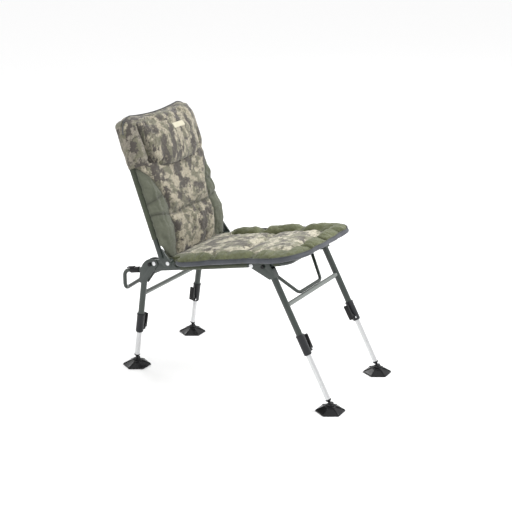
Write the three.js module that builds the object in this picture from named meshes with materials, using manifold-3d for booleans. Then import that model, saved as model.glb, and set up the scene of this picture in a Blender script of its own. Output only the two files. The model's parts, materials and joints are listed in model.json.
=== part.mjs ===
// Folding carp fishing chair: a tilted seat frame on two folding leg frames, a backrest that folds
// forward, telescopic legs with cam clamps, and hexagonal feet on ball joints.
// Millimetres. X is the sitter's left, -Y is forward, +Z is up. The floor is Z = 0.
import * as THREE from 'three';
import { mergeVertices } from 'three/addons/utils/BufferGeometryUtils.js';
import Module from 'manifold-3d';

const wasm = await Module();
wasm.setup();

const UP = 1;
const DOWN = -1;
const LEFT = 1;
const RIGHT = -1;
const SIDES = { left: LEFT, right: RIGHT };
const HALF = 0.5;

// Clearances
const CLEARANCE = 0.3;
const OVERRUN = 4;

// Whole chair
const REAR_PIVOT_HEIGHT = 405;
const SEAT_TILT = 11.7;
const FRAME_HALF_WIDTH = 185;

// Seat frame, measured from the rear leg pivot, forward along the rails
const RAIL_OUTER = 16;
const RAIL_WALL = 1.2;
const RAIL_DROP = 22;
const RAIL_REAR_OVERHANG = 95;
const RAIL_FRONT_REACH = 530;
const RAIL_BEND = 32;
const FRONT_PIVOT_REACH = 394;
const BACK_PIVOT_REACH = 58;
const BACK_PIVOT_DROP = 2;

// Rear spreader bar and its sleeves
const SPREADER_OUTER = 14;
const SPREADER_WALL = 1.2;
const SPREADER_REACH = 62;
const SPREADER_DROP = 68;
const SPREADER_BOW = 26;
const SPREADER_BEND = 24;
const SPREADER_BOW_BEND = 192;
const SLEEVE_WALL = 2.6;
const SLEEVE_LENGTH = 38;
const SLEEVE_LIP_LENGTH = 12;
const SLEEVE_LIP_THICKNESS = 3;

// Pivot rivets and the folded sheet that they run in
const SHEET = 2;
const RIVET_SHANK = 7.6;
const RIVET_HEAD = 15;
const RIVET_HEAD_HEIGHT = 3;
const HINGE_TOP_MARGIN = 13;
const HINGE_NOSE = 36;
const BUTTON_OUTER = 13;
const BUTTON_INNER = 8;
const BUTTON_PROUD = 3.2;
const BUTTON_TRAVEL = 2.4;

// Leg frames
const LEG_OUTER = 22;
const LEG_WALL = 1.2;
const CROSSBAR_OUTER = 16;
const CROSSBAR_WALL = 1.2;
const INNER_OUTER = 18;
const INNER_WALL = 1.2;
const REAR_LEAN = 8;
const FRONT_LEAN = -28;
const REAR_OFFSET = 41.4;
const FRONT_OFFSET = -55;
const REAR_CROSSBAR_DROP = 132;
const FRONT_CROSSBAR_DROP = 167;
const REAR_CLAMP_DROP = 209;
const FRONT_CLAMP_DROP = 273;
const REAR_INNER_LENGTH = 205;
const FRONT_INNER_LENGTH = 290;
const REAR_TUBE_TOP = 56;
const FRONT_TUBE_TOP = 36;
const REAR_BRACKET_LENGTH = 88;
const FRONT_BRACKET_LENGTH = 66;
const BRACE_OUTER = 12;
const BRACE_WALL = 1.2;
const BRACE_FOOT_HALF_WIDTH = 79;
const BRACE_SHOULDER_INSET = 33;
const BRACE_SHOULDER_OFFSET = -20;
const BRACE_SHOULDER_DROP = 30;
const BRACE_REST_ANGLE = 12;
const BRACE_BEND = 26;

// Leg clamps and their cam levers
const CLAMP_OUTER = 28;
const CLAMP_LENGTH = 72;
const CLAMP_OVERLAP = 30;
const CLAMP_RIM = 2;
const LEVER_WIDTH = 17;
const LEVER_LENGTH = 52;
const LEVER_REACH = 13.4;
const LEVER_THICKNESS = 5;
const LEVER_CAM = 5;
const LEVER_PIN = 2.2;
const LEVER_STANDOFF = 0.6;
const LEVER_PIVOT_RISE = 13;
const EAR_THICKNESS = 3;

// Feet
const BALL_RADIUS = 7.6;
const BALL_HEIGHT = 25;
const NECK_RADIUS = 4.4;
const PLUG_FLARE = 10.4;
const PLUG_FLARE_HEIGHT = 11;
const PLUG_RIM = 3;
const PLUG_SPIGOT = 22;
const FOOT_RADIUS = 51;
const FOOT_RIM_HEIGHT = 5;
const FOOT_CROWN_HEIGHT = 19;
const FOOT_CROWN_RADIUS = 17;
const FOOT_WALL = 3.2;
const FOOT_FACET_SINK = 2.6;
const SOCKET_OUTER = 13;
const CLAW_RISE = 5;
const CLAW_WIDTH = 10;

// Backrest
const BACK_RECLINE = 20;
const BACK_TUBE_OUTER = 19;
const BACK_TUBE_WALL = 1.2;
const BACK_TUBE_SETBACK = 19.5;
const BACK_TUBE_FOOT = 20;
const BACK_HEIGHT = 514;
const BACK_BEND = 52;
const BACK_TOP_BEND = 312;
const GUSSET_RISE = 58;
const GUSSET_FLANGE = 6;
const GUSSET_HEAD_RADIUS = 12.75;
const BACK_TOP_DIP = 10;

// Soft goods
const CLOTH = 1.2;
const SEAT_SLING_REAR = 102;
const SLEEVE_GAP_REAR = 20;
const SLEEVE_GAP_FRONT = 82;
const SEAT_PAD_OVERHANG = 22;
const SEAT_PAD_REAR = 56;
const SEAT_PAD_FRONT = 587;
const SEAT_PAD_CORNER = 62;
const SEAT_PAD_BOW = 22;
const SEAT_PAD_EDGE = 14;
const SEAT_PAD_BOLSTER = 29;
const SEAT_PAD_FRONT_BOLSTER = 23;
const SEAT_PAD_PANEL = 20;
const SEAT_PAD_SEAM = 12;
const SEAT_PAD_PULL = 3;
const SEAT_PAD_BULGE = 3;
const SEAT_BORDER = 66;
const SEAT_NOTCH_SIDE_GAP = 6.7;
const SEAT_NOTCH_END_GAP = 14;
const BACK_SLING_FOOT = 92;
const BACK_PAD_OVERHANG = 19;
const BACK_PAD_FOOT = 18;
const BACK_PAD_TOP_GAP = 4;
const BACK_PAD_THICKNESS = 38;
const BACK_PAD_EDGE = 9;
const BACK_PAD_CORNER = 40;
const BACK_PAD_CHAMFER = 86;
const BACK_PAD_FOOT_EDGE = 3;
const BACK_PAD_PULL = 2;
const BACK_PANEL_TOP_INSET = 26;
const BACK_PANEL_WAIST_INSET = 86;
const HOOD_LENGTH = 168;
const HOOD_CLOTH = 2;
const PILLOW_LENGTH = 190;
const PILLOW_TOP_GAP = 6;
const PILLOW_TOP_HALF_WIDTH = 176;
const PILLOW_FOOT_HALF_WIDTH = 120;
const PILLOW_THICKNESS = 36;
const PILLOW_EDGE = 6;
const PILLOW_CORNER = 46;
const PILLOW_PULL = 4;
const PILLOW_BULGE = 2;

// Smoothness
const TUBE_SIDES = 12;
const BEND_STEPS = 4;
const ROUND_SIDES = 16;
const SMALL_SIDES = 12;

// Finishes
const paint = { color: 0x4d544e, roughness: 0.5, metalness: 0.4 };
const crossPaint = { color: 0x7c827d, roughness: 0.5, metalness: 0.5 };
const silver = { color: 0xd9dadb, roughness: 0.28, metalness: 0.9 };
const zinc = { color: 0xcdd0d2, roughness: 0.35, metalness: 0.9 };
const black = { color: 0x17181a, roughness: 0.5, metalness: 0 };
const clampBlack = { color: 0x303133, roughness: 0.55, metalness: 0 };
const olive = { color: 0x6b7259, roughness: 0.9, metalness: 0 };
const darkOlive = { color: 0x3c4234, roughness: 0.95, metalness: 0 };
const sand = { color: 0xa39a82, roughness: 0.95, metalness: 0 };

function radians(degrees) {
  return THREE.MathUtils.degToRad(degrees);
}

function mesh(name, geometry, finish) {
  const piece = new THREE.Mesh(geometry, new THREE.MeshStandardMaterial(finish));
  piece.name = name;
  return piece;
}

function groupAt(x, y, z, turn = 0) {
  const group = new THREE.Group();
  group.position.set(x, y, z);
  group.rotation.x = radians(turn);
  return group;
}

// Closed geometry to a solid for cutting and joining, and back
function solid(geometry) {
  const bare = geometry.clone();
  bare.deleteAttribute('normal');
  bare.deleteAttribute('uv');
  const merged = mergeVertices(bare, 1e-3);
  const triVerts = new Uint32Array(merged.index.array);
  return new wasm.Manifold(new wasm.Mesh({
    numProp: 3, vertProperties: merged.attributes.position.array, triVerts,
  }));
}

function geometryOf(body) {
  const { vertProperties, triVerts } = body.getMesh();
  const geometry = new THREE.BufferGeometry();
  geometry.setAttribute('position', new THREE.BufferAttribute(new Float32Array(vertProperties), 3));
  geometry.setIndex(new THREE.BufferAttribute(new Uint32Array(triVerts), 1));
  return geometry;
}

function joined(first, ...others) {
  return geometryOf(others.reduce((body, other) => body.add(solid(other)), solid(first)));
}

function cut(first, ...tools) {
  return geometryOf(tools.reduce((body, tool) => body.subtract(solid(tool)), solid(first)));
}

function box(minX, maxX, minY, maxY, minZ, maxZ) {
  const shape = new THREE.BoxGeometry(maxX - minX, maxY - minY, maxZ - minZ);
  return shape.translate((minX + maxX) * HALF, (minY + maxY) * HALF, (minZ + maxZ) * HALF);
}

function rodX(radius, fromX, toX, y, z, sides = SMALL_SIDES) {
  const rod = new THREE.CylinderGeometry(radius, radius, toX - fromX, sides);
  return rod.rotateZ(Math.PI * HALF).translate((fromX + toX) * HALF, y, z);
}

function rodY(radius, length, x, y, z, sides = SMALL_SIDES) {
  return new THREE.CylinderGeometry(radius, radius, length, sides).translate(x, y, z);
}

function rodZ(radius, fromZ, toZ, x = 0, y = 0, sides = ROUND_SIDES) {
  const rod = new THREE.CylinderGeometry(radius, radius, toZ - fromZ, sides);
  return rod.rotateX(Math.PI * HALF).translate(x, y, (fromZ + toZ) * HALF);
}

// A side view drawn in (y, z) and given a thickness across x, centred on x
function sidePlate(shape, thickness, x) {
  const plate = new THREE.ExtrudeGeometry(shape, { depth: thickness, bevelEnabled: false, curveSegments: 6 });
  const axes = new THREE.Matrix4().makeBasis(
    new THREE.Vector3(0, 1, 0), new THREE.Vector3(0, 0, 1), new THREE.Vector3(1, 0, 0));
  return plate.applyMatrix4(axes).translate(x - thickness * HALF, 0, 0);
}

// A profile of [radius, height] turned round z
function turned(profile, sides = ROUND_SIDES) {
  const points = profile.map(([radius, height]) => new THREE.Vector2(radius, height));
  return new THREE.LatheGeometry(points, sides).rotateX(Math.PI * HALF);
}

// An arc through space, from one tangent point to the other round a fillet's centre
class FilletArc extends THREE.Curve {
  constructor(centre, from, to) {
    super();
    this.centre = centre;
    this.start = from.clone().sub(centre);
    this.axis = this.start.clone().cross(to.clone().sub(centre)).normalize();
    this.angle = this.start.angleTo(to.clone().sub(centre));
  }
  getPoint(t, target = new THREE.Vector3()) {
    return target.copy(this.start).applyAxisAngle(this.axis, this.angle * t).add(this.centre);
  }
}

// A bent tube's centre line: straight runs take one step each and bends take a few
class BentLine extends THREE.Curve {
  constructor(corners, bendRadii, bendSteps = BEND_STEPS) {
    super();
    this.runs = [];
    let last = corners[0];
    for (let i = 1; i < corners.length - 1; i += 1) {
      const back = corners[i - 1].clone().sub(corners[i]).normalize();
      const ahead = corners[i + 1].clone().sub(corners[i]).normalize();
      const halfAngle = back.angleTo(ahead) * HALF;
      const reach = bendRadii[i - 1] / Math.tan(halfAngle);
      const from = corners[i].clone().addScaledVector(back, reach);
      const to = corners[i].clone().addScaledVector(ahead, reach);
      const centre = corners[i].clone().addScaledVector(
        back.add(ahead).normalize(), bendRadii[i - 1] / Math.sin(halfAngle));
      this.runs.push([new THREE.LineCurve3(last, from), 1]);
      this.runs.push([new FilletArc(centre, from, to), bendSteps]);
      last = to;
    }
    this.runs.push([new THREE.LineCurve3(last, corners.at(-1)), 1]);
    this.steps = this.runs.reduce((sum, [, steps]) => sum + steps, 0);
  }
  getPoint(t, target = new THREE.Vector3()) {
    let at = Math.min(Math.max(t, 0), 1) * this.steps;
    for (const [curve, steps] of this.runs) {
      if (at <= steps) return curve.getPoint(at / steps, target);
      at -= steps;
    }
    return this.runs.at(-1)[0].getPoint(1, target);
  }
  getUtoTmapping(u) {
    return u;
  }
}

function ringShape(outer, wall, sides = TUBE_SIDES) {
  const ring = (radius, count) => Array.from({ length: count }, (_, i) => {
    const angle = (2 * Math.PI * i) / count;
    return new THREE.Vector2(radius * Math.cos(angle), radius * Math.sin(angle));
  });
  const shape = new THREE.Shape(ring(outer * HALF, sides));
  shape.holes.push(new THREE.Path(ring(outer * HALF - wall, sides * HALF)));
  return shape;
}

function bentTube(corners, bendRadii, outer, wall, sides = TUBE_SIDES) {
  const line = new BentLine(corners, bendRadii);
  return new THREE.ExtrudeGeometry(ringShape(outer, wall, sides), { steps: line.steps, extrudePath: line });
}

// A straight open tube along z, from top to bottom
function tubeZ(outer, wall, top, bottom, sides = ROUND_SIDES) {
  return turned([
    [outer * HALF - wall, bottom], [outer * HALF, bottom], [outer * HALF, top],
    [outer * HALF - wall, top], [outer * HALF - wall, bottom],
  ], sides);
}

function tubeX(outer, wall, fromX, toX, y, z, sides = TUBE_SIDES) {
  return tubeZ(outer, wall, toX, fromX, sides).rotateY(Math.PI * HALF).translate(0, y, z);
}

// A sewn pad over a plan with rounded corners: rows and columns are shares of the half sizes, and
// lower and upper give the two skins' heights
function pad({ halfWidth, from, to, corner, columns, rows, lower, upper, pull = 0, bulge = 0,
  bow = 0, taper = 1 }) {
  const middle = (from + to) * HALF;
  const halfDepth = Math.abs(to - from) * HALF;
  const place = (u, v) => {
    let x = u * halfWidth;
    let y = v * halfDepth;
    const overX = Math.abs(x) - (halfWidth - corner);
    const overY = Math.abs(y) - (halfDepth - corner);
    if (overX > 0 && overY > 0) {
      const shrink = Math.max(overX, overY) / Math.hypot(overX, overY);
      x = Math.sign(x) * (halfWidth - corner + overX * shrink);
      y = Math.sign(y) * (halfDepth - corner + overY * shrink);
    }
    y += bow * u * u * ((1 - v) * HALF) ** 2;
    x *= taper + (1 - taper) * (1 - v) * HALF;
    x -= Math.sign(u) * pull * Math.abs(u) ** 4 * Math.cos(v * Math.PI * HALF);
    y -= Math.sign(v) * pull * Math.abs(v) ** 4 * Math.cos(u * Math.PI * HALF);
    return [x, middle + y];
  };
  const points = [];
  const triangles = [];
  const across = columns.length;
  const down = rows.length;
  const skin = (height) => {
    const start = points.length / 3;
    for (const v of rows) {
      for (const u of columns) {
        const [x, y] = place(u, v);
        points.push(x, y, height(x, y, u, v));
      }
    }
    return start;
  };
  const top = skin(upper);
  const bottom = skin(lower);
  for (let j = 0; j < down - 1; j += 1) {
    for (let i = 0; i < across - 1; i += 1) {
      const a = j * across + i;
      const [b, c, d] = [a + 1, a + across + 1, a + across];
      triangles.push(top + a, top + b, top + c, top + a, top + c, top + d);
      triangles.push(bottom + a, bottom + c, bottom + b, bottom + a, bottom + d, bottom + c);
    }
  }
  const edge = [];
  for (let i = 0; i < across - 1; i += 1) edge.push(i);
  for (let j = 0; j < down - 1; j += 1) edge.push(j * across + across - 1);
  for (let i = across - 1; i > 0; i -= 1) edge.push((down - 1) * across + i);
  for (let j = down - 1; j > 0; j -= 1) edge.push(j * across);
  const waist = points.length / 3;
  edge.forEach((at) => {
    const [x, y, high] = points.slice(3 * (top + at), 3 * (top + at) + 3);
    const low = points[3 * (bottom + at) + 2];
    const out = new THREE.Vector2(x / halfWidth, (y - middle) / halfDepth).normalize();
    points.push(x + out.x * bulge, y + out.y * bulge, (high + low) * HALF);
  });
  edge.forEach((at, k) => {
    const next = (k + 1) % edge.length;
    const [a, b] = [at, edge[next]];
    const [wa, wb] = [waist + k, waist + next];
    triangles.push(top + a, wa, wb, top + a, wb, top + b);
    triangles.push(wa, bottom + a, bottom + b, wa, bottom + b, wb);
  });
  const geometry = new THREE.BufferGeometry();
  geometry.setAttribute('position', new THREE.Float32BufferAttribute(points, 3));
  geometry.setIndex(triangles);
  return geometry;
}

// A smooth hump that is 1 at the centre and 0 at the width on either side
function hump(distance, width) {
  const share = Math.min(Math.abs(distance) / width, 1);
  return (1 + Math.cos(Math.PI * share)) * HALF;
}

function smooth(value, low, high) {
  return THREE.MathUtils.smoothstep(value, low, high);
}

function mirrored(positiveShares) {
  const below = positiveShares.filter((share) => share > 0).map((share) => -share).reverse();
  return [...below, ...positiveShares];
}

const railRadius = RAIL_OUTER * HALF;
const legRadius = LEG_OUTER * HALF;
const channelGap = LEG_OUTER + 2 * CLEARANCE;
const channelOuter = channelGap + 2 * SHEET;
const hingeGap = RAIL_OUTER + 2 * CLEARANCE;
const hingeOuter = hingeGap + 2 * SHEET;
const rivetHole = RIVET_SHANK * HALF + CLEARANCE;
const braceShoulderHalfWidth = FRAME_HALF_WIDTH - BRACE_SHOULDER_INSET;
const seatPadHalfWidth = FRAME_HALF_WIDTH + SEAT_PAD_OVERHANG;
const seatNotchHalfWidth = FRAME_HALF_WIDTH - hingeOuter * HALF - SEAT_NOTCH_SIDE_GAP;
const seatNotchReach = BACK_PIVOT_REACH + HINGE_NOSE + SEAT_NOTCH_END_GAP;
const backPadHalfWidth = FRAME_HALF_WIDTH + BACK_PAD_OVERHANG;
const backPadTopEnd = BACK_HEIGHT - BACK_PAD_TOP_GAP;
const panelTopHalfWidth = backPadHalfWidth - BACK_PANEL_TOP_INSET;
const panelWaistHalfWidth = backPadHalfWidth - BACK_PANEL_WAIST_INSET;
const hoodFoot = BACK_HEIGHT - HOOD_LENGTH;
const pillowTop = BACK_HEIGHT - PILLOW_TOP_GAP;
const pillowFoot = pillowTop - PILLOW_LENGTH;

// Seat frame

function seatFrameTube() {
  const z = -RAIL_DROP;
  const tube = bentTube([
    new THREE.Vector3(-FRAME_HALF_WIDTH, RAIL_REAR_OVERHANG, z),
    new THREE.Vector3(-FRAME_HALF_WIDTH, -RAIL_FRONT_REACH, z),
    new THREE.Vector3(FRAME_HALF_WIDTH, -RAIL_FRONT_REACH, z),
    new THREE.Vector3(FRAME_HALF_WIDTH, RAIL_REAR_OVERHANG, z),
  ], [RAIL_BEND, RAIL_BEND], RAIL_OUTER, RAIL_WALL);
  const reach = FRAME_HALF_WIDTH + railRadius + OVERRUN;
  return cut(tube, rodX(rivetHole, -reach, reach, -FRONT_PIVOT_REACH, z));
}

function rearSpreader() {
  const start = RAIL_REAR_OVERHANG + CLEARANCE;
  const rear = start + SPREADER_REACH;
  const low = -RAIL_DROP - SPREADER_DROP;
  const arm = (side) => [
    new THREE.Vector3(side * FRAME_HALF_WIDTH, start, -RAIL_DROP),
    new THREE.Vector3(side * FRAME_HALF_WIDTH, rear - SPREADER_OUTER, -RAIL_DROP - CLEARANCE),
    new THREE.Vector3(side * FRAME_HALF_WIDTH, rear, low),
  ];
  const corners = [...arm(RIGHT), new THREE.Vector3(0, rear + SPREADER_BOW, low), ...arm(LEFT).reverse()];
  return bentTube(corners, [SPREADER_BEND, SPREADER_BEND, SPREADER_BOW_BEND, SPREADER_BEND, SPREADER_BEND],
    SPREADER_OUTER, SPREADER_WALL);
}

function railSleeve() {
  const outer = railRadius + CLEARANCE + SLEEVE_WALL;
  const front = SLEEVE_LENGTH * HALF;
  const bore = railRadius + CLEARANCE;
  const rearBore = SPREADER_OUTER * HALF + CLEARANCE;
  const barrel = turned([
    [bore, 0], [bore, -front], [outer, -front], [outer, front],
    [rearBore, front], [rearBore, CLEARANCE], [bore, 0],
  ]).rotateX(-Math.PI * HALF);
  const lip = box(-railRadius, railRadius, OVERRUN, front + SLEEVE_LIP_LENGTH,
    outer - SLEEVE_LIP_THICKNESS * HALF, outer + SLEEVE_LIP_THICKNESS * HALF);
  return joined(barrel, lip);
}

// Downward-open channel over the rail that carries the leg rivet and the back rivet
function hingeChannel() {
  const top = HINGE_TOP_MARGIN;
  const nose = -BACK_PIVOT_REACH - HINGE_NOSE;
  const outline = (rearX, floor) => {
    const shape = new THREE.Shape();
    shape.moveTo(rearX, -RAIL_DROP + floor);
    shape.lineTo(rearX, 0);
    shape.quadraticCurveTo(rearX, top, 0, top);
    shape.lineTo(-BACK_PIVOT_REACH, top - BACK_PIVOT_DROP);
    shape.quadraticCurveTo(-BACK_PIVOT_REACH - top, top - BACK_PIVOT_DROP,
      -BACK_PIVOT_REACH - top, -BACK_PIVOT_DROP);
    shape.lineTo(nose, -RAIL_DROP + floor);
    shape.closePath();
    return shape;
  };
  const body = sidePlate(outline(top, 0), hingeOuter, 0);
  const inside = sidePlate(outline(top + OVERRUN, -OVERRUN), hingeGap, 0).translate(0, 0, -SHEET);
  const railWay = box(-hingeGap * HALF, hingeGap * HALF, nose - OVERRUN, top + OVERRUN,
    -2 * RAIL_DROP, -RAIL_DROP + railRadius + CLEARANCE);
  const reach = hingeOuter * HALF + OVERRUN;
  return cut(body, inside, railWay,
    rodX(rivetHole, -reach, reach, 0, 0),
    rodX(rivetHole, -reach, reach, -BACK_PIVOT_REACH, -BACK_PIVOT_DROP));
}

// Sling stretched over the rails, with sleeves round them on both sides of the front leg brackets
const slingTop = -RAIL_DROP + railRadius + CLEARANCE + CLOTH;

function seatSling() {
  const front = -RAIL_FRONT_REACH - railRadius;
  const outline = new THREE.Shape();
  outline.moveTo(-FRAME_HALF_WIDTH, -SEAT_SLING_REAR);
  outline.lineTo(-FRAME_HALF_WIDTH, front + RAIL_BEND);
  outline.quadraticCurveTo(-FRAME_HALF_WIDTH, front, -FRAME_HALF_WIDTH + RAIL_BEND, front);
  outline.lineTo(FRAME_HALF_WIDTH - RAIL_BEND, front);
  outline.quadraticCurveTo(FRAME_HALF_WIDTH, front, FRAME_HALF_WIDTH, front + RAIL_BEND);
  outline.lineTo(FRAME_HALF_WIDTH, -SEAT_SLING_REAR);
  outline.closePath();
  const sheet = new THREE.ExtrudeGeometry(outline, { depth: CLOTH, bevelEnabled: false, curveSegments: 6 })
    .translate(0, 0, slingTop - CLOTH);
  const stretches = [
    [SEAT_SLING_REAR, FRONT_PIVOT_REACH - SLEEVE_GAP_REAR],
    [FRONT_PIVOT_REACH + SLEEVE_GAP_FRONT, RAIL_FRONT_REACH - RAIL_BEND - CLEARANCE],
  ];
  const sleeves = [LEFT, RIGHT].flatMap((side) => stretches.map(([near, far]) =>
    tubeZ(RAIL_OUTER + 2 * (CLEARANCE + CLOTH), CLOTH, far, near, TUBE_SIDES)
      .rotateX(Math.PI * HALF).translate(side * FRAME_HALF_WIDTH, 0, -RAIL_DROP)));
  return joined(sheet, ...sleeves);
}

// Seat cushion: thick bolsters in lobes round a lower panel, sewn down between them
const seatLobeShares = [-0.93, -0.3, 0.34];
const frontLobeShares = [-0.5, 0, 0.5];
const lobeTuckShare = 0.05;
const lobeTuckDepthShare = 0.5;
const crossSeamDepthShare = 0.6;
const seatRearEdgeShare = 0.25;
const bolsterRoundness = 0.7;
const seatPanelColumnShares = [0, 0.08, 0.25, 0.42, 0.5, 0.58];
const seatEdgeColumnShare = 0.94;
const seatFrontRowShare = -0.96;
const seatRowShares = [-0.62, -0.45, -0.3, -0.2, -0.08, 0, 0.08, 0.2, 0.34, 0.48, 0.62, 0.8, 0.93, 1];

function seatPadTop(x, y, u, v) {
  const middle = -(SEAT_PAD_REAR + SEAT_PAD_FRONT) * HALF;
  const halfDepth = (SEAT_PAD_FRONT - SEAT_PAD_REAR) * HALF;
  const fromSide = seatPadHalfWidth * (1 - Math.abs(u));
  const fromFront = halfDepth * (1 + v);
  const inset = Math.min(fromSide, fromFront);
  const crest = SEAT_BORDER * HALF;
  const base = slingTop + CLEARANCE;
  const rear = seatRearEdgeShare
    + (1 - seatRearEdgeShare) * smooth(halfDepth * (1 - v), -SEAT_PAD_EDGE, SEAT_BORDER);
  if (inset < SEAT_BORDER) {
    const crown = THREE.MathUtils.lerp(SEAT_PAD_FRONT_BOLSTER, SEAT_PAD_BOLSTER, smooth(v, -1, 0));
    const swell = Math.sin(Math.PI * Math.min(inset / SEAT_BORDER, 1)) ** bolsterRoundness;
    const side = inset < crest ? SEAT_PAD_EDGE : SEAT_PAD_SEAM;
    const shares = fromSide < fromFront ? seatLobeShares : frontLobeShares;
    const along = fromSide < fromFront ? (y - middle) / halfDepth : x / seatPadHalfWidth;
    const tuck = Math.max(...shares.map((share) => hump(along - share, lobeTuckShare)));
    return base + rear * (side + (crown - side) * swell * (1 - lobeTuckDepthShare * tuck));
  }
  const seam = hump(y - middle, SEAT_BORDER * HALF);
  const round = smooth(inset, SEAT_BORDER, 2 * SEAT_BORDER);
  const swollen = round * (1 - crossSeamDepthShare * seam);
  return base + rear * (SEAT_PAD_SEAM + (SEAT_PAD_PANEL - SEAT_PAD_SEAM) * swollen);
}

function seatCushion() {
  const borderU = 1 - SEAT_BORDER / seatPadHalfWidth;
  const crestU = 1 - (SEAT_BORDER * HALF) / seatPadHalfWidth;
  const halfDepth = (SEAT_PAD_FRONT - SEAT_PAD_REAR) * HALF;
  const borderV = -(1 - SEAT_BORDER / halfDepth);
  const crestV = -(1 - (SEAT_BORDER * HALF) / halfDepth);
  const cushion = pad({
    halfWidth: seatPadHalfWidth, from: -SEAT_PAD_REAR, to: -SEAT_PAD_FRONT, corner: SEAT_PAD_CORNER,
    columns: mirrored([
      ...seatPanelColumnShares, borderU, (borderU + crestU) * HALF, crestU, seatEdgeColumnShare, 1]),
    rows: [-1, seatFrontRowShare, crestV, (crestV + borderV) * HALF, borderV, ...seatRowShares],
    lower: () => slingTop + CLEARANCE,
    upper: seatPadTop, pull: SEAT_PAD_PULL, bulge: SEAT_PAD_BULGE, bow: SEAT_PAD_BOW,
  });
  const outer = seatPadHalfWidth + 2 * OVERRUN;
  const notches = [LEFT, RIGHT].map((side) => box(
    Math.min(side * seatNotchHalfWidth, side * outer), Math.max(side * seatNotchHalfWidth, side * outer),
    -seatNotchReach, 0, -RAIL_DROP, 3 * RAIL_DROP));
  return cut(cushion, ...notches);
}

// Leg frames

// A bracket's two side plates with a web between them along the leg
function channelBracket(outline, webs, pivotHole, buttonAt) {
  const plates = [LEFT, RIGHT].map((side) => sidePlate(outline, SHEET, side * (channelGap + SHEET) * HALF));
  const body = joined(plates[0], plates[1], ...webs);
  const reach = channelOuter * HALF + OVERRUN;
  return cut(body, rodX(pivotHole, -reach, reach, 0, 0),
    rodX(BUTTON_INNER * HALF + CLEARANCE, -reach, reach, ...buttonAt));
}

const rearButtonAt = [17, -8.4];
const frontButtonAt = [-41, -17];

function rearBracket() {
  const back = REAR_OFFSET + legRadius + CLEARANCE;
  const head = RIVET_HEAD;
  const shape = new THREE.Shape();
  shape.moveTo(back + SHEET, -REAR_BRACKET_LENGTH);
  shape.lineTo(back + SHEET, -REAR_TUBE_TOP + SHEET);
  shape.quadraticCurveTo(back, -head, rearButtonAt[0] + head, head * HALF * HALF);
  shape.quadraticCurveTo(rearButtonAt[0], head, 0, head);
  shape.absarc(0, 0, head, Math.PI * HALF, Math.PI + radians(REAR_LEAN), false);
  shape.lineTo(REAR_OFFSET - legRadius, -REAR_BRACKET_LENGTH);
  shape.closePath();
  const half = channelGap * HALF + SHEET * HALF;
  const web = box(-half, half, back, back + SHEET, -REAR_BRACKET_LENGTH, -REAR_TUBE_TOP);
  return channelBracket(shape, [web], rivetHole, rearButtonAt);
}

function frontBracket() {
  const front = FRONT_OFFSET - legRadius - CLEARANCE;
  const head = railRadius;
  const rise = -Math.tan(radians(SEAT_TILT + FRONT_LEAN));
  const topAt = (y) => y * rise + (head - SHEET) * HALF + SHEET;
  const shape = new THREE.Shape();
  shape.moveTo(front - SHEET, -FRONT_BRACKET_LENGTH);
  shape.lineTo(FRONT_OFFSET + legRadius, -FRONT_BRACKET_LENGTH);
  shape.lineTo(head * HALF, -head);
  shape.absarc(0, 0, head, -Math.PI * HALF * HALF, Math.PI * HALF, false);
  shape.lineTo(FRONT_OFFSET, topAt(FRONT_OFFSET));
  shape.quadraticCurveTo(front - SHEET, topAt(FRONT_OFFSET), front - SHEET, topAt(FRONT_OFFSET) - head);
  shape.closePath();
  const half = channelGap * HALF + SHEET * HALF;
  const web = box(-half, half, front - SHEET, front, -FRONT_BRACKET_LENGTH, -FRONT_TUBE_TOP);
  return channelBracket(shape, [web], rivetHole, frontButtonAt);
}

// A rivet through the bracket and what it turns on, with a head on each side
function pivotRivet(span, collarFrom = 0, collarTo = 0) {
  const outside = span * HALF + CLEARANCE;
  const dome = RIVET_HEAD_HEIGHT * HALF;
  const shank = RIVET_SHANK * HALF;
  const head = RIVET_HEAD * HALF;
  const profile = [
    [0, -outside - RIVET_HEAD_HEIGHT], [head * HALF, -outside - RIVET_HEAD_HEIGHT], [head, -outside - dome],
    [head, -outside], [shank, -outside], [shank, outside], [head, outside], [head, outside + dome],
    [head * HALF, outside + RIVET_HEAD_HEIGHT], [0, outside + RIVET_HEAD_HEIGHT],
  ];
  if (collarTo > collarFrom) {
    const collar = head * HALF + shank * HALF + SHEET * HALF;
    profile.splice(5, 0, [shank, -collarTo], [collar, -collarTo], [collar, -collarFrom], [shank, -collarFrom],
      [shank, collarFrom], [collar, collarFrom], [collar, collarTo], [shank, collarTo]);
  }
  return turned(profile, SMALL_SIDES).rotateY(Math.PI * HALF);
}

// Push button of the fold lock, outside the bracket: pressed home, its stem stays clear of the hinge
function lockButton() {
  const stem = (channelOuter - hingeOuter) * HALF - CLEARANCE - BUTTON_TRAVEL;
  return turned([
    [0, -stem], [BUTTON_INNER * HALF, -stem], [BUTTON_INNER * HALF, BUTTON_TRAVEL + CLEARANCE],
    [BUTTON_OUTER * HALF, BUTTON_TRAVEL + CLEARANCE], [BUTTON_OUTER * HALF, BUTTON_PROUD + BUTTON_TRAVEL],
    [BUTTON_INNER * HALF, BUTTON_PROUD + BUTTON_TRAVEL + SHEET * HALF],
    [0, BUTTON_PROUD + BUTTON_TRAVEL],
  ], SMALL_SIDES);
}

function crossbar(y, drop) {
  const half = FRAME_HALF_WIDTH;
  const bar = tubeX(CROSSBAR_OUTER, CROSSBAR_WALL, -half, half, y, -drop);
  const cuts = [LEFT, RIGHT].map((side) => rodZ(legRadius + CLEARANCE, -drop - LEG_OUTER, -drop + LEG_OUTER,
    side * FRAME_HALF_WIDTH, y));
  return cut(bar, ...cuts);
}

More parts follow.
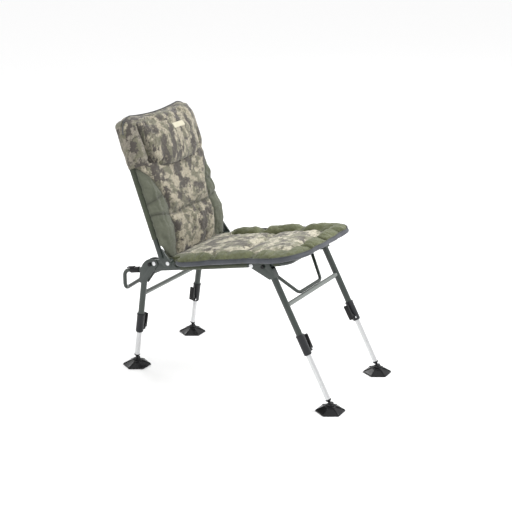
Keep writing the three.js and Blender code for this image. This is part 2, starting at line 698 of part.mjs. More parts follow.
function frontBrace() {
  const inner = FRAME_HALF_WIDTH - channelOuter * HALF - CLEARANCE;
  const apart = (CROSSBAR_OUTER + BRACE_OUTER) * HALF + CLEARANCE;
  const low = -FRONT_CROSSBAR_DROP + apart * Math.cos(radians(BRACE_REST_ANGLE));
  const y = FRONT_OFFSET + apart * Math.sin(radians(BRACE_REST_ANGLE));
  const arm = (side) => [
    new THREE.Vector3(side * (inner + BRACE_OUTER), BRACE_SHOULDER_OFFSET, BRACE_OUTER - BRACE_SHOULDER_DROP),
    new THREE.Vector3(side * braceShoulderHalfWidth, BRACE_SHOULDER_OFFSET, -BRACE_SHOULDER_DROP),
    new THREE.Vector3(side * BRACE_FOOT_HALF_WIDTH, y, low),
  ];
  const brace = bentTube([...arm(RIGHT), ...arm(LEFT).reverse()], Array(4).fill(BRACE_BEND),
    BRACE_OUTER, BRACE_WALL, SMALL_SIDES);
  const trims = [LEFT, RIGHT].map((side) => {
    const far = side * (inner + 2 * LEG_OUTER);
    const near = side * inner;
    return box(Math.min(far, near), Math.max(far, near), -FRAME_HALF_WIDTH, FRAME_HALF_WIDTH,
      -LEG_OUTER * 3, LEG_OUTER * 3);
  });
  return cut(brace, ...trims);
}

// Sleeve of the leg clamp, its mouth at z = 0 and its ears towards +x
function clampSleeve() {
  const outer = CLAMP_OUTER * HALF;
  const wide = legRadius + CLEARANCE;
  const narrow = INNER_OUTER * HALF + CLEARANCE;
  const shoulder = -CLAMP_OVERLAP - CLEARANCE;
  const barrel = turned([
    [narrow, shoulder], [narrow, -CLAMP_LENGTH], [outer - CLAMP_RIM, -CLAMP_LENGTH],
    [outer, -CLAMP_LENGTH + CLAMP_RIM * 2], [outer, -CLAMP_RIM * 3],
    [outer + CLAMP_RIM * HALF, -CLAMP_RIM * 2], [outer + CLAMP_RIM * HALF, -CLAMP_RIM],
    [outer, 0], [wide, 0], [wide, shoulder], [narrow, shoulder],
  ]);
  const pivot = [outer + LEVER_STANDOFF + LEVER_CAM, -CLAMP_LENGTH + LEVER_PIVOT_RISE];
  const across = LEVER_WIDTH * HALF + CLEARANCE;
  const ears = [LEFT, RIGHT].map((side) => {
    const y = side * (across + EAR_THICKNESS * HALF);
    const plate = box(narrow, pivot[0], y - EAR_THICKNESS * HALF, y + EAR_THICKNESS * HALF,
      pivot[1] - LEVER_CAM, pivot[1] + LEVER_CAM);
    return joined(plate, rodY(LEVER_CAM, EAR_THICKNESS, pivot[0], y, pivot[1]));
  });
  const body = joined(barrel, ...ears);
  const bores = rodZ(wide, shoulder, OVERRUN);
  const pin = rodY(LEVER_PIN + CLEARANCE, 2 * across + 4 * EAR_THICKNESS, pivot[0], 0, pivot[1]);
  return cut(body, bores, pin);
}

const leverShoulderShare = 0.85;
const leverWaistShare = 0.35;

// Cam lever about its own pin, on the clamp's +x side, its paddle standing off for a finger
function camLever() {
  const inner = LEVER_REACH - LEVER_THICKNESS;
  const tip = LEVER_REACH + EAR_THICKNESS * HALF;
  const shape = new THREE.Shape();
  shape.absarc(0, 0, LEVER_CAM, -Math.PI, -Math.PI * HALF, false);
  shape.lineTo(inner, LEVER_PIN - LEVER_CAM);
  shape.quadraticCurveTo(LEVER_REACH, LEVER_PIN - LEVER_CAM, LEVER_REACH, LEVER_CAM);
  shape.lineTo(tip, LEVER_LENGTH * leverShoulderShare);
  shape.quadraticCurveTo(tip, LEVER_LENGTH, inner + EAR_THICKNESS, LEVER_LENGTH);
  shape.lineTo(inner, LEVER_LENGTH - EAR_THICKNESS);
  shape.quadraticCurveTo(inner + EAR_THICKNESS * HALF, LEVER_LENGTH * leverWaistShare, 0, 2 * LEVER_CAM);
  shape.lineTo(-LEVER_CAM, LEVER_CAM);
  shape.closePath();
  const settings = { depth: LEVER_WIDTH, bevelEnabled: false, curveSegments: 5 };
  const blade = new THREE.ExtrudeGeometry(shape, settings)
    .rotateX(Math.PI * HALF).translate(0, LEVER_WIDTH * HALF, 0);
  return joined(blade, rodY(LEVER_PIN, LEVER_WIDTH + 2 * EAR_THICKNESS, 0, 0, 0));
}

// Plug in the inner tube's end: spigot, flared collar, neck and ball, with the ball's centre at z = 0
const plugTop = BALL_RADIUS + PLUG_FLARE_HEIGHT;

function anklePlug() {
  const spigot = INNER_OUTER * HALF - INNER_WALL - CLEARANCE;
  const arc = [];
  const steps = 6;
  const neckAngle = Math.asin(NECK_RADIUS / BALL_RADIUS);
  for (let i = 0; i <= steps; i += 1) {
    const angle = (Math.PI - neckAngle) * (i / steps);
    arc.push([BALL_RADIUS * Math.sin(angle), -BALL_RADIUS * Math.cos(angle)]);
  }
  return turned([
    ...arc, [NECK_RADIUS, BALL_RADIUS + SHEET], [PLUG_FLARE, plugTop - PLUG_RIM], [PLUG_FLARE, plugTop],
    [spigot, plugTop], [spigot, plugTop + PLUG_SPIGOT], [0, plugTop + PLUG_SPIGOT],
  ], SMALL_SIDES);
}

// Foot: a hexagonal umbrella-shaped pad with ribs to its corners, hollow below, and a ball socket
function ringLoft(rings) {
  const points = [];
  const triangles = [];
  const count = rings[1].length;
  rings.forEach((ring) => ring.forEach(([x, y, z]) => points.push(x, y, z)));
  const startOf = (index) => rings.slice(0, index).reduce((sum, ring) => sum + ring.length, 0);
  for (let r = 0; r < rings.length - 1; r += 1) {
    const [a, b] = [startOf(r), startOf(r + 1)];
    for (let i = 0; i < count; i += 1) {
      const next = (i + 1) % count;
      if (rings[r].length === 1) triangles.push(a, b + next, b + i);
      else if (rings[r + 1].length === 1) triangles.push(a + i, a + next, b);
      else triangles.push(a + i, a + next, b + next, a + i, b + next, b + i);
    }
  }
  const geometry = new THREE.BufferGeometry();
  geometry.setAttribute('position', new THREE.Float32BufferAttribute(points, 3));
  geometry.setIndex(triangles);
  return geometry;
}

function footPad() {
  const corners = 6;
  const ring = (radius, z, sink = 0) => Array.from({ length: 2 * corners }, (_, i) => {
    const angle = (Math.PI * i) / corners;
    const onCorner = i % 2 === 0;
    const r = onCorner ? radius : radius * Math.cos(Math.PI / corners);
    return [r * Math.cos(angle), r * Math.sin(angle), onCorner ? z : z - sink];
  });
  const floor = -BALL_HEIGHT;
  const rim = floor + FOOT_RIM_HEIGHT;
  const crown = floor + FOOT_CROWN_HEIGHT;
  const middle = (FOOT_RADIUS + FOOT_CROWN_RADIUS) * HALF;
  const middleHeight = (rim + crown) * HALF;
  const underside = crown - FOOT_WALL * 2;
  const shell = ringLoft([
    [[0, 0, underside]],
    ring(FOOT_CROWN_RADIUS - FOOT_WALL, underside),
    ring(FOOT_RADIUS - 2 * FOOT_WALL, floor + FOOT_WALL * HALF),
    ring(FOOT_RADIUS - 2 * FOOT_WALL, floor),
    ring(FOOT_RADIUS - FOOT_WALL * HALF, floor),
    ring(FOOT_RADIUS, floor + FOOT_WALL * HALF),
    ring(FOOT_RADIUS - FOOT_WALL * HALF, rim),
    ring(middle, middleHeight, FOOT_FACET_SINK),
    ring(FOOT_CROWN_RADIUS, crown),
    [[0, 0, crown]],
  ]);
  const socketBottom = underside + FOOT_WALL * HALF;
  const socket = rodZ(SOCKET_OUTER, socketBottom, SHEET * HALF);
  const claws = [LEFT, RIGHT].map((side) => box(
    Math.min(side * BALL_RADIUS * HALF, side * SOCKET_OUTER),
    Math.max(side * BALL_RADIUS * HALF, side * SOCKET_OUTER),
    -CLAW_WIDTH * HALF, CLAW_WIDTH * HALF, -SHEET, CLAW_RISE));
  const cup = new THREE.SphereGeometry(BALL_RADIUS + 3 * CLEARANCE, SMALL_SIDES, SMALL_SIDES * HALF);
  const neckWay = rodX(NECK_RADIUS + SHEET * HALF, -NECK_RADIUS - CLEARANCE, NECK_RADIUS + CLEARANCE, 0, 0);
  return cut(joined(shell, socket, ...claws), cup, neckWay);
}

// One leg frame: two legs, a crossbar and what they carry
function legFrame(where, lean, offset, sizes, bracket) {
  const tiltNow = where === 'rear' ? 0 : -FRONT_PIVOT_REACH;
  const frame = groupAt(0, tiltNow, where === 'rear' ? 0 : -RAIL_DROP, lean + SEAT_TILT);
  frame.name = `${where}_leg_frame`;
  const clampTop = -sizes.clampDrop;
  const clampBottom = clampTop - CLAMP_LENGTH;
  // The pivot's height over the floor and the lean give the length down to the ball
  const pivotHeight = REAR_PIVOT_HEIGHT + (where === 'rear' ? 0
    : FRONT_PIVOT_REACH * Math.sin(radians(SEAT_TILT)) - RAIL_DROP * Math.cos(radians(SEAT_TILT)));
  const ballDrop = (pivotHeight - BALL_HEIGHT + offset * Math.sin(radians(lean))) / Math.cos(radians(lean));
  const innerBottom = -ballDrop + plugTop + CLEARANCE;
  for (const [sideName, side] of Object.entries(SIDES)) {
    const leg = groupAt(side * FRAME_HALF_WIDTH, 0, 0);
    const tag = `${where}_${sideName}`;
    leg.add(mesh(`${where}_bracket_${sideName}`, bracket(), paint));
    const tube = mesh(`${where}_leg_tube_${sideName}`,
      tubeZ(LEG_OUTER, LEG_WALL, -sizes.tubeTop, clampTop - CLAMP_OVERLAP), paint);
    tube.position.y = offset;
    leg.add(tube);
    const span = channelOuter;
    leg.add(mesh(`${where}_pivot_rivet_${sideName}`, where === 'rear' ? pivotRivet(span)
      : pivotRivet(span, railRadius + CLEARANCE, channelGap * HALF - CLEARANCE), zinc));
    const clampGroup = groupAt(0, offset, clampTop);
    clampGroup.rotation.z = side === LEFT ? Math.PI : 0;
    clampGroup.add(mesh(`${where}_clamp_${sideName}`, clampSleeve(), clampBlack));
    const leverGroup = groupAt(
      CLAMP_OUTER * HALF + LEVER_STANDOFF + LEVER_CAM, 0, LEVER_PIVOT_RISE - CLAMP_LENGTH);
    leverGroup.name = `${tag}_lever_pin`;
    leverGroup.add(mesh(`${where}_clamp_lever_${sideName}`, camLever(), black));
    clampGroup.add(leverGroup);
    leg.add(clampGroup);
    const button = mesh(`${where}_lock_button_${sideName}`, lockButton(), black);
    button.position.set(side * channelOuter * HALF, ...sizes.buttonAt);
    button.rotation.y = side * Math.PI * HALF;
    leg.add(button);
    const inner = mesh(`${where}_inner_tube_${sideName}`,
      tubeZ(INNER_OUTER, INNER_WALL, innerBottom + sizes.innerLength, innerBottom), silver);
    inner.position.y = offset;
    leg.add(inner);
    const ankle = groupAt(0, offset, -ballDrop);
    ankle.name = `${tag}_ankle`;
    ankle.add(mesh(`${where}_ankle_plug_${sideName}`, anklePlug(), black));
    const foot = mesh(`${where}_foot_${sideName}`, footPad(), black);
    foot.rotation.x = -radians(lean);
    ankle.add(foot);
    leg.add(ankle);
    frame.add(leg);
  }
  frame.userData = { exposed: clampBottom - innerBottom };
  return frame;
}

const rearSizes = {
  clampDrop: REAR_CLAMP_DROP,
  tubeTop: REAR_TUBE_TOP,
  innerLength: REAR_INNER_LENGTH,
  buttonAt: rearButtonAt,
};
const frontSizes = {
  clampDrop: FRONT_CLAMP_DROP,
  tubeTop: FRONT_TUBE_TOP,
  innerLength: FRONT_INNER_LENGTH,
  buttonAt: frontButtonAt,
};

// Backrest, about its pivots: z runs up the back, y points behind it

const backTubeX = FRAME_HALF_WIDTH + hingeOuter * HALF + CLEARANCE + SHEET * HALF;
const backTubeRadius = BACK_TUBE_OUTER * HALF;
const backTubeFoot = BACK_TUBE_FOOT + SHEET;

function backTube() {
  const y = BACK_TUBE_SETBACK;
  return bentTube([
    new THREE.Vector3(-backTubeX, y, backTubeFoot),
    new THREE.Vector3(-backTubeX, y, BACK_HEIGHT - backTubeRadius),
    new THREE.Vector3(0, y, BACK_HEIGHT - backTubeRadius - BACK_TOP_DIP),
    new THREE.Vector3(backTubeX, y, BACK_HEIGHT - backTubeRadius),
    new THREE.Vector3(backTubeX, y, backTubeFoot),
  ], [BACK_BEND, BACK_TOP_BEND, BACK_BEND], BACK_TUBE_OUTER, BACK_TUBE_WALL);
}

// Gusset between the tube's foot and the back pivot, with its front edge turned inwards
function backGusset(side) {
  const front = BACK_TUBE_SETBACK - backTubeRadius - CLEARANCE;
  const rear = BACK_TUBE_SETBACK + backTubeRadius;
  const foot = backTubeFoot - CLEARANCE;
  const head = GUSSET_HEAD_RADIUS;
  const shape = new THREE.Shape();
  shape.moveTo(rear, foot);
  shape.lineTo(front, foot);
  shape.lineTo(front, GUSSET_RISE);
  shape.lineTo(front - GUSSET_FLANGE, GUSSET_RISE - GUSSET_FLANGE);
  shape.lineTo(-head, head * HALF);
  shape.absarc(0, 0, head, Math.PI, Math.PI * 1.5, false);
  shape.quadraticCurveTo(rear, -head, rear, foot);
  const plate = sidePlate(shape, SHEET, 0);
  const flange = new THREE.Shape();
  flange.moveTo(front - GUSSET_FLANGE, GUSSET_RISE - GUSSET_FLANGE);
  flange.lineTo(front - GUSSET_FLANGE - SHEET, GUSSET_RISE - GUSSET_FLANGE);
  flange.lineTo(-head - SHEET, head * HALF);
  flange.lineTo(-head, head * HALF);
  const edge = sidePlate(flange, GUSSET_FLANGE, side * (GUSSET_FLANGE - SHEET) * HALF);
  const reach = SHEET + OVERRUN;
  return cut(joined(plate, edge), rodX(rivetHole, -reach, reach, 0, 0));
}

// Short rivet from inside the hinge channel to outside the gusset
function backRivet(side) {
  const inner = -hingeOuter * HALF - CLEARANCE;
  const outer = hingeOuter * HALF + CLEARANCE + SHEET + CLEARANCE;
  const shank = RIVET_SHANK * HALF;
  const head = RIVET_HEAD * HALF;
  const low = Math.min(side * inner, side * outer);
  const high = Math.max(side * inner, side * outer);
  return turned([
    [0, low - RIVET_HEAD_HEIGHT], [head * HALF, low - RIVET_HEAD_HEIGHT],
    [head, low - RIVET_HEAD_HEIGHT * HALF], [head, low], [shank, low],
    [shank, high], [head, high], [head, high + RIVET_HEAD_HEIGHT * HALF],
    [head * HALF, high + RIVET_HEAD_HEIGHT], [0, high + RIVET_HEAD_HEIGHT],
  ], SMALL_SIDES).rotateY(Math.PI * HALF);
}

const backSlingFront = BACK_TUBE_SETBACK - backTubeRadius - CLEARANCE - CLOTH;

function backSling() {
  const top = BACK_HEIGHT - BACK_TUBE_OUTER - BACK_BEND;
  const sheet = box(-backTubeX, backTubeX, backSlingFront, backSlingFront + CLOTH, BACK_SLING_FOOT, top);
  const sleeves = [LEFT, RIGHT].map((side) => tubeZ(BACK_TUBE_OUTER + 2 * (CLEARANCE + CLOTH), CLOTH,
    top, BACK_SLING_FOOT, SMALL_SIDES).translate(side * backTubeX, BACK_TUBE_SETBACK, 0));
  return joined(sheet, ...sleeves);
}

const backColumnShares = [0, 0.18, 0.36, 0.5, 0.6, 0.72, 0.86, 0.95, 1];
const backRowShares = [
  -1, -0.95, -0.88, -0.8, -0.6, -0.46, -0.4, -0.34, -0.2, 0, 0.2, 0.32, 0.46, 0.6, 0.74, 0.86, 0.94, 1,
];
const lumbarSeamShare = 0.3;
const lumbarSeamDepthShare = 0.2;
const backCrownShare = 0.12;
const pillowColumnShares = [0, 0.2, 0.4, 0.6, 0.78, 0.92, 1];
const pillowRowShares = [0, 0.3, 0.55, 0.78, 0.92, 1];

// Half width of the patterned panel at a height up the back
function panelHalfWidth(height) {
  const narrow = smooth(height, backPadTopEnd, hoodFoot - BACK_BEND);
  const wide = smooth(height, hoodFoot - BACK_BEND, BACK_PAD_CHAMFER);
  return panelTopHalfWidth
    - (panelTopHalfWidth - panelWaistHalfWidth) * narrow * (1 - wide * HALF * HALF);
}

function backPadTop(x, y) {
  const inner = panelHalfWidth(y);
  const outer = backPadHalfWidth;
  const slope = THREE.MathUtils.clamp((outer - Math.abs(x)) / (outer - inner), 0, 1);
  const crown = 1 - backCrownShare * (x / inner) ** 2;
  const seam = hump(y - (BACK_PAD_FOOT + backPadTopEnd) * lumbarSeamShare, BACK_PAD_EDGE * 2);
  const foot = smooth(y, BACK_PAD_FOOT - BACK_PAD_EDGE, BACK_PAD_FOOT + BACK_PAD_CHAMFER);
  const head = smooth(backPadTopEnd - y, 0, BACK_PAD_CORNER);
  const sewn = 1 - lumbarSeamDepthShare * seam;
  const full = BACK_PAD_EDGE + (BACK_PAD_THICKNESS - BACK_PAD_EDGE) * slope * Math.min(crown, 1) * sewn;
  return BACK_PAD_FOOT_EDGE + (full - BACK_PAD_FOOT_EDGE) * foot * (HALF + HALF * head);
}

function backCushion() {
  const cushion = pad({
    halfWidth: backPadHalfWidth, from: BACK_PAD_FOOT, to: backPadTopEnd, corner: BACK_PAD_CORNER,
    columns: mirrored(backColumnShares), rows: backRowShares,
    lower: () => 0, upper: backPadTop, pull: BACK_PAD_PULL,
  }).rotateX(Math.PI * HALF).translate(0, backSlingFront - CLEARANCE, 0);
  const inner = backTubeX - SHEET - GUSSET_FLANGE;
  const outer = backPadHalfWidth + OVERRUN;
  return cut(cushion, ...[LEFT, RIGHT].map((side) => box(
    Math.min(side * inner, side * outer), Math.max(side * inner, side * outer),
    -BACK_PAD_THICKNESS * 2, BACK_TUBE_SETBACK, 0, GUSSET_RISE + OVERRUN)));
}

// Cloth hood that slips over the top of the tube and holds the pad on
function backHood() {
  const slack = CLOTH + 2 * CLEARANCE;
  const block = (grow, low, frontY) => {
    const halfWidth = backTubeX + backTubeRadius + grow;
    const rear = BACK_TUBE_SETBACK + backTubeRadius + grow;
    const top = BACK_HEIGHT + grow - CLOTH;
    const round = backTubeRadius + grow;
    const front = new THREE.Shape();
    front.moveTo(-halfWidth, low);
    front.lineTo(halfWidth, low);
    front.lineTo(halfWidth, top - BACK_BEND);
    front.quadraticCurveTo(halfWidth, top, halfWidth - BACK_BEND, top - BACK_TOP_DIP * HALF * HALF);
    front.quadraticCurveTo(0, top - BACK_TOP_DIP, -halfWidth + BACK_BEND, top - BACK_TOP_DIP * HALF * HALF);
    front.quadraticCurveTo(-halfWidth, top, -halfWidth, top - BACK_BEND);
    front.closePath();
    const section = new THREE.Shape();
    section.moveTo(-halfWidth, -frontY);
    section.lineTo(-halfWidth, round - rear);
    section.absarc(-halfWidth + round, round - rear, round, Math.PI, Math.PI * 1.5, false);
    section.absarc(halfWidth - round, round - rear, round, Math.PI * 1.5, Math.PI * 2, false);
    section.lineTo(halfWidth, -frontY);
    section.closePath();
    const cap = new THREE.Shape();
    cap.moveTo(frontY, low - OVERRUN);
    cap.lineTo(rear, low - OVERRUN);
    cap.lineTo(rear, top - round);
    cap.absarc(rear - round, top - round, round, 0, Math.PI * HALF, false);
    cap.lineTo(frontY, top);
    cap.closePath();
    const through = { depth: 2 * BACK_BEND, bevelEnabled: false, curveSegments: 5 };
    const upward = { depth: BACK_HEIGHT, bevelEnabled: false, curveSegments: 4 };
    const across = new THREE.ExtrudeGeometry(front, through)
      .rotateX(Math.PI * HALF).translate(0, frontY + 2 * BACK_BEND, 0);
    const along = new THREE.ExtrudeGeometry(section, upward)
      .scale(1, -1, 1).scale(-1, 1, 1).translate(0, 0, low - OVERRUN);
    const over = sidePlate(cap, 2 * halfWidth + OVERRUN, 0);
    return solid(across).intersect(solid(along)).intersect(solid(over));
  };
  return geometryOf(block(slack + HOOD_CLOTH, hoodFoot, backSlingFront)
    .subtract(block(slack, hoodFoot - OVERRUN, backSlingFront - OVERRUN)));
}

function headPillow(behind) {
  const base = (x, y) => backPadTop(x, y) + CLEARANCE + SHEET * HALF;
  const pillow = pad({
    halfWidth: PILLOW_FOOT_HALF_WIDTH, taper: PILLOW_TOP_HALF_WIDTH / PILLOW_FOOT_HALF_WIDTH,
    from: pillowFoot, to: pillowTop, corner: PILLOW_CORNER,
    columns: mirrored(pillowColumnShares), rows: mirrored(pillowRowShares),
    lower: base,
    upper: (x, y, u, v) => {
      const swell = Math.sqrt(Math.max(1 - u ** 4, 0) * Math.max(1 - v ** 4, 0));
      return base(x, y) + PILLOW_EDGE + (PILLOW_THICKNESS - PILLOW_EDGE) * swell;
    },
    pull: PILLOW_PULL, bulge: PILLOW_BULGE,
  }).rotateX(Math.PI * HALF).translate(0, backSlingFront - CLEARANCE, 0);
  return cut(pillow, behind.clone().translate(0, -CLEARANCE, 0));
}

// Assembly

const chair = new THREE.Group();
const seat = groupAt(0, 0, REAR_PIVOT_HEIGHT, -SEAT_TILT);
seat.name = 'seat_group';
chair.add(seat);
seat.add(mesh('seat_frame', seatFrameTube(), paint));
seat.add(mesh('rear_spreader', rearSpreader(), paint));
seat.add(mesh('seat_sling', seatSling(), darkOlive));
seat.add(mesh('seat_cushion', seatCushion(), sand));
for (const [sideName, side] of Object.entries(SIDES)) {
  const sleeve = mesh(`rail_sleeve_${sideName}`, railSleeve(), black);
  sleeve.position.set(side * FRAME_HALF_WIDTH, RAIL_REAR_OVERHANG, -RAIL_DROP);
  const hinge = mesh(`hinge_channel_${sideName}`, hingeChannel(), paint);
  hinge.position.x = side * FRAME_HALF_WIDTH;
  seat.add(sleeve, hinge);
}

const rearLegs = legFrame('rear', REAR_LEAN, REAR_OFFSET, rearSizes, rearBracket);
rearLegs.add(mesh('rear_crossbar', crossbar(REAR_OFFSET, REAR_CROSSBAR_DROP), crossPaint));
const frontLegs = legFrame('front', FRONT_LEAN, FRONT_OFFSET, frontSizes, frontBracket);
frontLegs.add(mesh('front_crossbar', crossbar(FRONT_OFFSET, FRONT_CROSSBAR_DROP), crossPaint));
frontLegs.add(mesh('front_brace', frontBrace(), paint));
seat.add(rearLegs, frontLegs);

const backrest = groupAt(0, -BACK_PIVOT_REACH, -BACK_PIVOT_DROP, SEAT_TILT - BACK_RECLINE);
backrest.name = 'backrest';
backrest.add(mesh('back_tube', backTube(), paint));
backrest.add(mesh('back_sling', backSling(), darkOlive));
const backPad = backCushion();
backrest.add(mesh('back_cushion', backPad, sand));
backrest.add(mesh('back_hood', backHood(), olive));
backrest.add(mesh('head_pillow', headPillow(backPad), sand));
for (const [sideName, side] of Object.entries(SIDES)) {
  const gusset = mesh(`back_gusset_${sideName}`, backGusset(side), paint);
  gusset.position.x = side * backTubeX;
  const rivet = mesh(`back_rivet_${sideName}`, backRivet(side), zinc);
  rivet.position.x = side * FRAME_HALF_WIDTH;
  backrest.add(gusset, rivet);
}
seat.add(backrest);

// The origin is on the floor under the middle of the chair's outline
const extent = new THREE.Box3().setFromObject(chair, true);
chair.position.y = -(extent.min.y + extent.max.y) * HALF;

export default chair;
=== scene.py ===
"""Folding fishing chair: padded camouflage seat and back on a painted tube frame with telescopic legs.

Metres. X is the sitter's left, -Y is forward, +Z is up, and the floor is Z = 0.
"""
import json
import math

import bmesh
import bpy
import numpy as np
from mathutils import Matrix, Vector, noise
from mathutils.bvhtree import BVHTree


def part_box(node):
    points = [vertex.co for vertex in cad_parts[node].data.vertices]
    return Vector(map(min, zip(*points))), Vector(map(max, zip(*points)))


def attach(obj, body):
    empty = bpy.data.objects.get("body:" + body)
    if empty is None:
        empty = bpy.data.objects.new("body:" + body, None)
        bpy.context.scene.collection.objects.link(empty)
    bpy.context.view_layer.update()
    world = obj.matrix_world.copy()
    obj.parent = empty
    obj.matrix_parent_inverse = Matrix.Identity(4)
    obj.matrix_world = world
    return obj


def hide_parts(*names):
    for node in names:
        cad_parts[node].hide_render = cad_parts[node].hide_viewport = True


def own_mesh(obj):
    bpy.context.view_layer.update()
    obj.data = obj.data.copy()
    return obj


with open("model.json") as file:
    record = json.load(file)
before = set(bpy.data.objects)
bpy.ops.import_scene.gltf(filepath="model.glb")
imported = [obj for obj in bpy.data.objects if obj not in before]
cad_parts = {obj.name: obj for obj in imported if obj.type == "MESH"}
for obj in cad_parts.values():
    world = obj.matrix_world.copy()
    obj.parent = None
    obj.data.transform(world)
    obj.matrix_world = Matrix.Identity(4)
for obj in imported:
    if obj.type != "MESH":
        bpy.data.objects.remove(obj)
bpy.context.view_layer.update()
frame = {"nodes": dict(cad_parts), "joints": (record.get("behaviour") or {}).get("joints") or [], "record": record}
scene = bpy.context.scene

MM = 0.001
LEFT = 1
RIGHT = -1
SIDES = {"left": LEFT, "right": RIGHT}

# Angles that place the sub-assemblies, in degrees about X
SEAT_ANGLE = -11.7
BACK_ANGLE = -20
REAR_LEG_ANGLE = 8
FRONT_LEG_ANGLE = -28

# Tubes
FRAME_HALF_WIDTH = 185 * MM
RAIL_OUTER = 16 * MM
RAIL_DROP = 22 * MM
RAIL_REAR = 95 * MM
RAIL_FRONT = 530 * MM
RAIL_BEND = 32 * MM
SPREADER_OUTER = 14 * MM
SPREADER_REACH = 62 * MM
SPREADER_DROP = 68 * MM
SPREADER_BOW = 26 * MM
SPREADER_BEND = 24 * MM
SPREADER_BOW_BEND = 192 * MM
LEG_OUTER = 22 * MM
INNER_OUTER = 18 * MM
CROSSBAR_OUTER = 16 * MM
BRACE_OUTER = 12 * MM
BRACE_BEND = 26 * MM
BACK_TUBE_OUTER = 19 * MM
BACK_TUBE_SETBACK = 19.5 * MM
BACK_TUBE_HALF_WIDTH = 196.6 * MM
BACK_TUBE_FOOT = 22 * MM
BACK_TUBE_TOP = 504.5 * MM
BACK_TUBE_DIP = 10 * MM
BACK_BEND = 52 * MM
BACK_TOP_BEND = 312 * MM
TUBE_WALL = 1.2 * MM
GAP = 0.3 * MM

# Seat pad, in the seat's own frame
SEAT_HALF_WIDTH = 207 * MM
SEAT_REAR = -56 * MM
SEAT_FRONT = -587 * MM
SEAT_BOW = 22 * MM
SEAT_BORDER = 66 * MM
SEAT_LOBES = (-0.3, 0.34)
FRONT_LOBES = (-0.5, 0, 0.5)

# Back pad, in the backrest's own frame
BACK_HALF_WIDTH = 204 * MM
BACK_FOOT = 18 * MM
HOOD_FOOT = 346 * MM
FOOT_TUCK = 16 * MM
LUMBAR_SEAM = 158 * MM
UPPER_TUCK = 232 * MM
PANEL_WAIST_HALF_WIDTH = 128 * MM
PANEL_FLARE_FOOT = 196 * MM
PILLOW_FOOT_HALF_WIDTH = 138 * MM
PILLOW_TOP_HALF_WIDTH = 168 * MM
PILLOW_CAD_FOOT = 120 * MM
PILLOW_CAD_TOP = 176 * MM
PILLOW_SHIFT = -7 * MM
PILLOW_FOOT = 318 * MM
PILLOW_TOP = 508 * MM
BACK_FRONT_FACE = 8.2 * MM


def joint_point(name):
    for joint in frame["joints"]:
        if joint["name"] == name:
            return Vector(joint["pos_m"])
    raise ValueError(name)


def placed(point, degrees):
    return Matrix.Translation(point) @ Matrix.Rotation(math.radians(degrees), 4, "X")


SEAT = placed(joint_point("rear_leg_fold"), SEAT_ANGLE)
BACK = placed(joint_point("backrest_fold"), BACK_ANGLE)
LEGS = {
    "rear": placed(joint_point("rear_leg_fold"), REAR_LEG_ANGLE),
    "front": placed(joint_point("front_leg_fold"), FRONT_LEG_ANGLE),
}


# Camera, light and floor


CAMERA_TARGET = (168.6, 84.65, 360.5)
CAMERA_AZIMUTH = -60.02
CAMERA_ELEVATION = 18.29
CAMERA_DISTANCE = 4553.2 * MM
CAMERA_LENS = 87.79
CAMERA_SIGHT = 100


def camera():
    target = Vector(CAMERA_TARGET) * MM
    azimuth = math.radians(CAMERA_AZIMUTH)
    elevation = math.radians(CAMERA_ELEVATION)
    back = Vector((
        math.sin(azimuth) * math.cos(elevation),
        -math.cos(azimuth) * math.cos(elevation),
        math.sin(elevation),
    ))
    bpy.ops.object.camera_add(location=target + back * CAMERA_DISTANCE)
    cam = bpy.context.object
    cam.rotation_mode = "QUATERNION"
    cam.rotation_quaternion = (-back).to_track_quat("-Z", "Y")
    cam.data.lens = CAMERA_LENS
    cam.data.clip_end = CAMERA_SIGHT
    scene.camera = cam


def soft_light(name, location, target, size, power):
    bpy.ops.object.light_add(type="AREA", location=location)
    lamp = bpy.context.object
    lamp.name = name
    lamp.rotation_mode = "QUATERNION"
    lamp.rotation_quaternion = (Vector(target) - Vector(location)).to_track_quat("-Z", "Y")
    lamp.data.size = size
    lamp.data.energy = power


# Name, place, size and power of each lamp
LAMPS = [("key_light", (1.5, -2.4, 3.2), 1.2, 110), ("fill_light", (-2.6, -0.6, 2.4), 2.4, 14),
         ("rim_light", (1.2, 2.8, 3.0), 1.6, 40)]
LAMP_TARGET = (0, 0, 0.4)
SKY_STRENGTH = 0.98
FLOOR_SIZE = 80


def studio():
    world = bpy.data.worlds.new("studio")
    scene.world = world
    world.use_nodes = True
    background = world.node_tree.nodes["Background"]
    dial(background, Color=(1, 1, 1, 1), Strength=SKY_STRENGTH)
    for name, location, size, power in LAMPS:
        soft_light(name, location, LAMP_TARGET, size, power)
    scene.view_settings.view_transform = "Standard"
    bpy.ops.mesh.primitive_plane_add(size=FLOOR_SIZE)
    floor = bpy.context.object
    floor.name = "floor"
    material, shader, _ = new_material("pale_floor")
    dial(shader, Base_Color=(0.98, 0.98, 0.98, 1), Roughness=0.8)
    floor.data.materials.append(material)


# Materials


def new_material(name):
    material = bpy.data.materials.new(name)
    material.use_nodes = True
    return material, material.node_tree.nodes["Principled BSDF"], material.node_tree


def ramp(tree, source, stops):
    made = tree.nodes.new("ShaderNodeValToRGB")
    made.color_ramp.elements[0].position, made.color_ramp.elements[0].color = stops[0]
    made.color_ramp.elements[1].position, made.color_ramp.elements[1].color = stops[-1]
    for position, colour in stops[1:-1]:
        made.color_ramp.elements.new(position).color = colour
    tree.links.new(source, made.inputs["Fac"])
    return made.outputs["Color"]


def grey(value):
    return (value, value, value, 1)


def dial(maker, **values):
    """Sets a node's own sockets. An underscore stands for a space in a socket's name."""
    for key, value in values.items():
        maker.inputs[key.replace("_", " ")].default_value = value


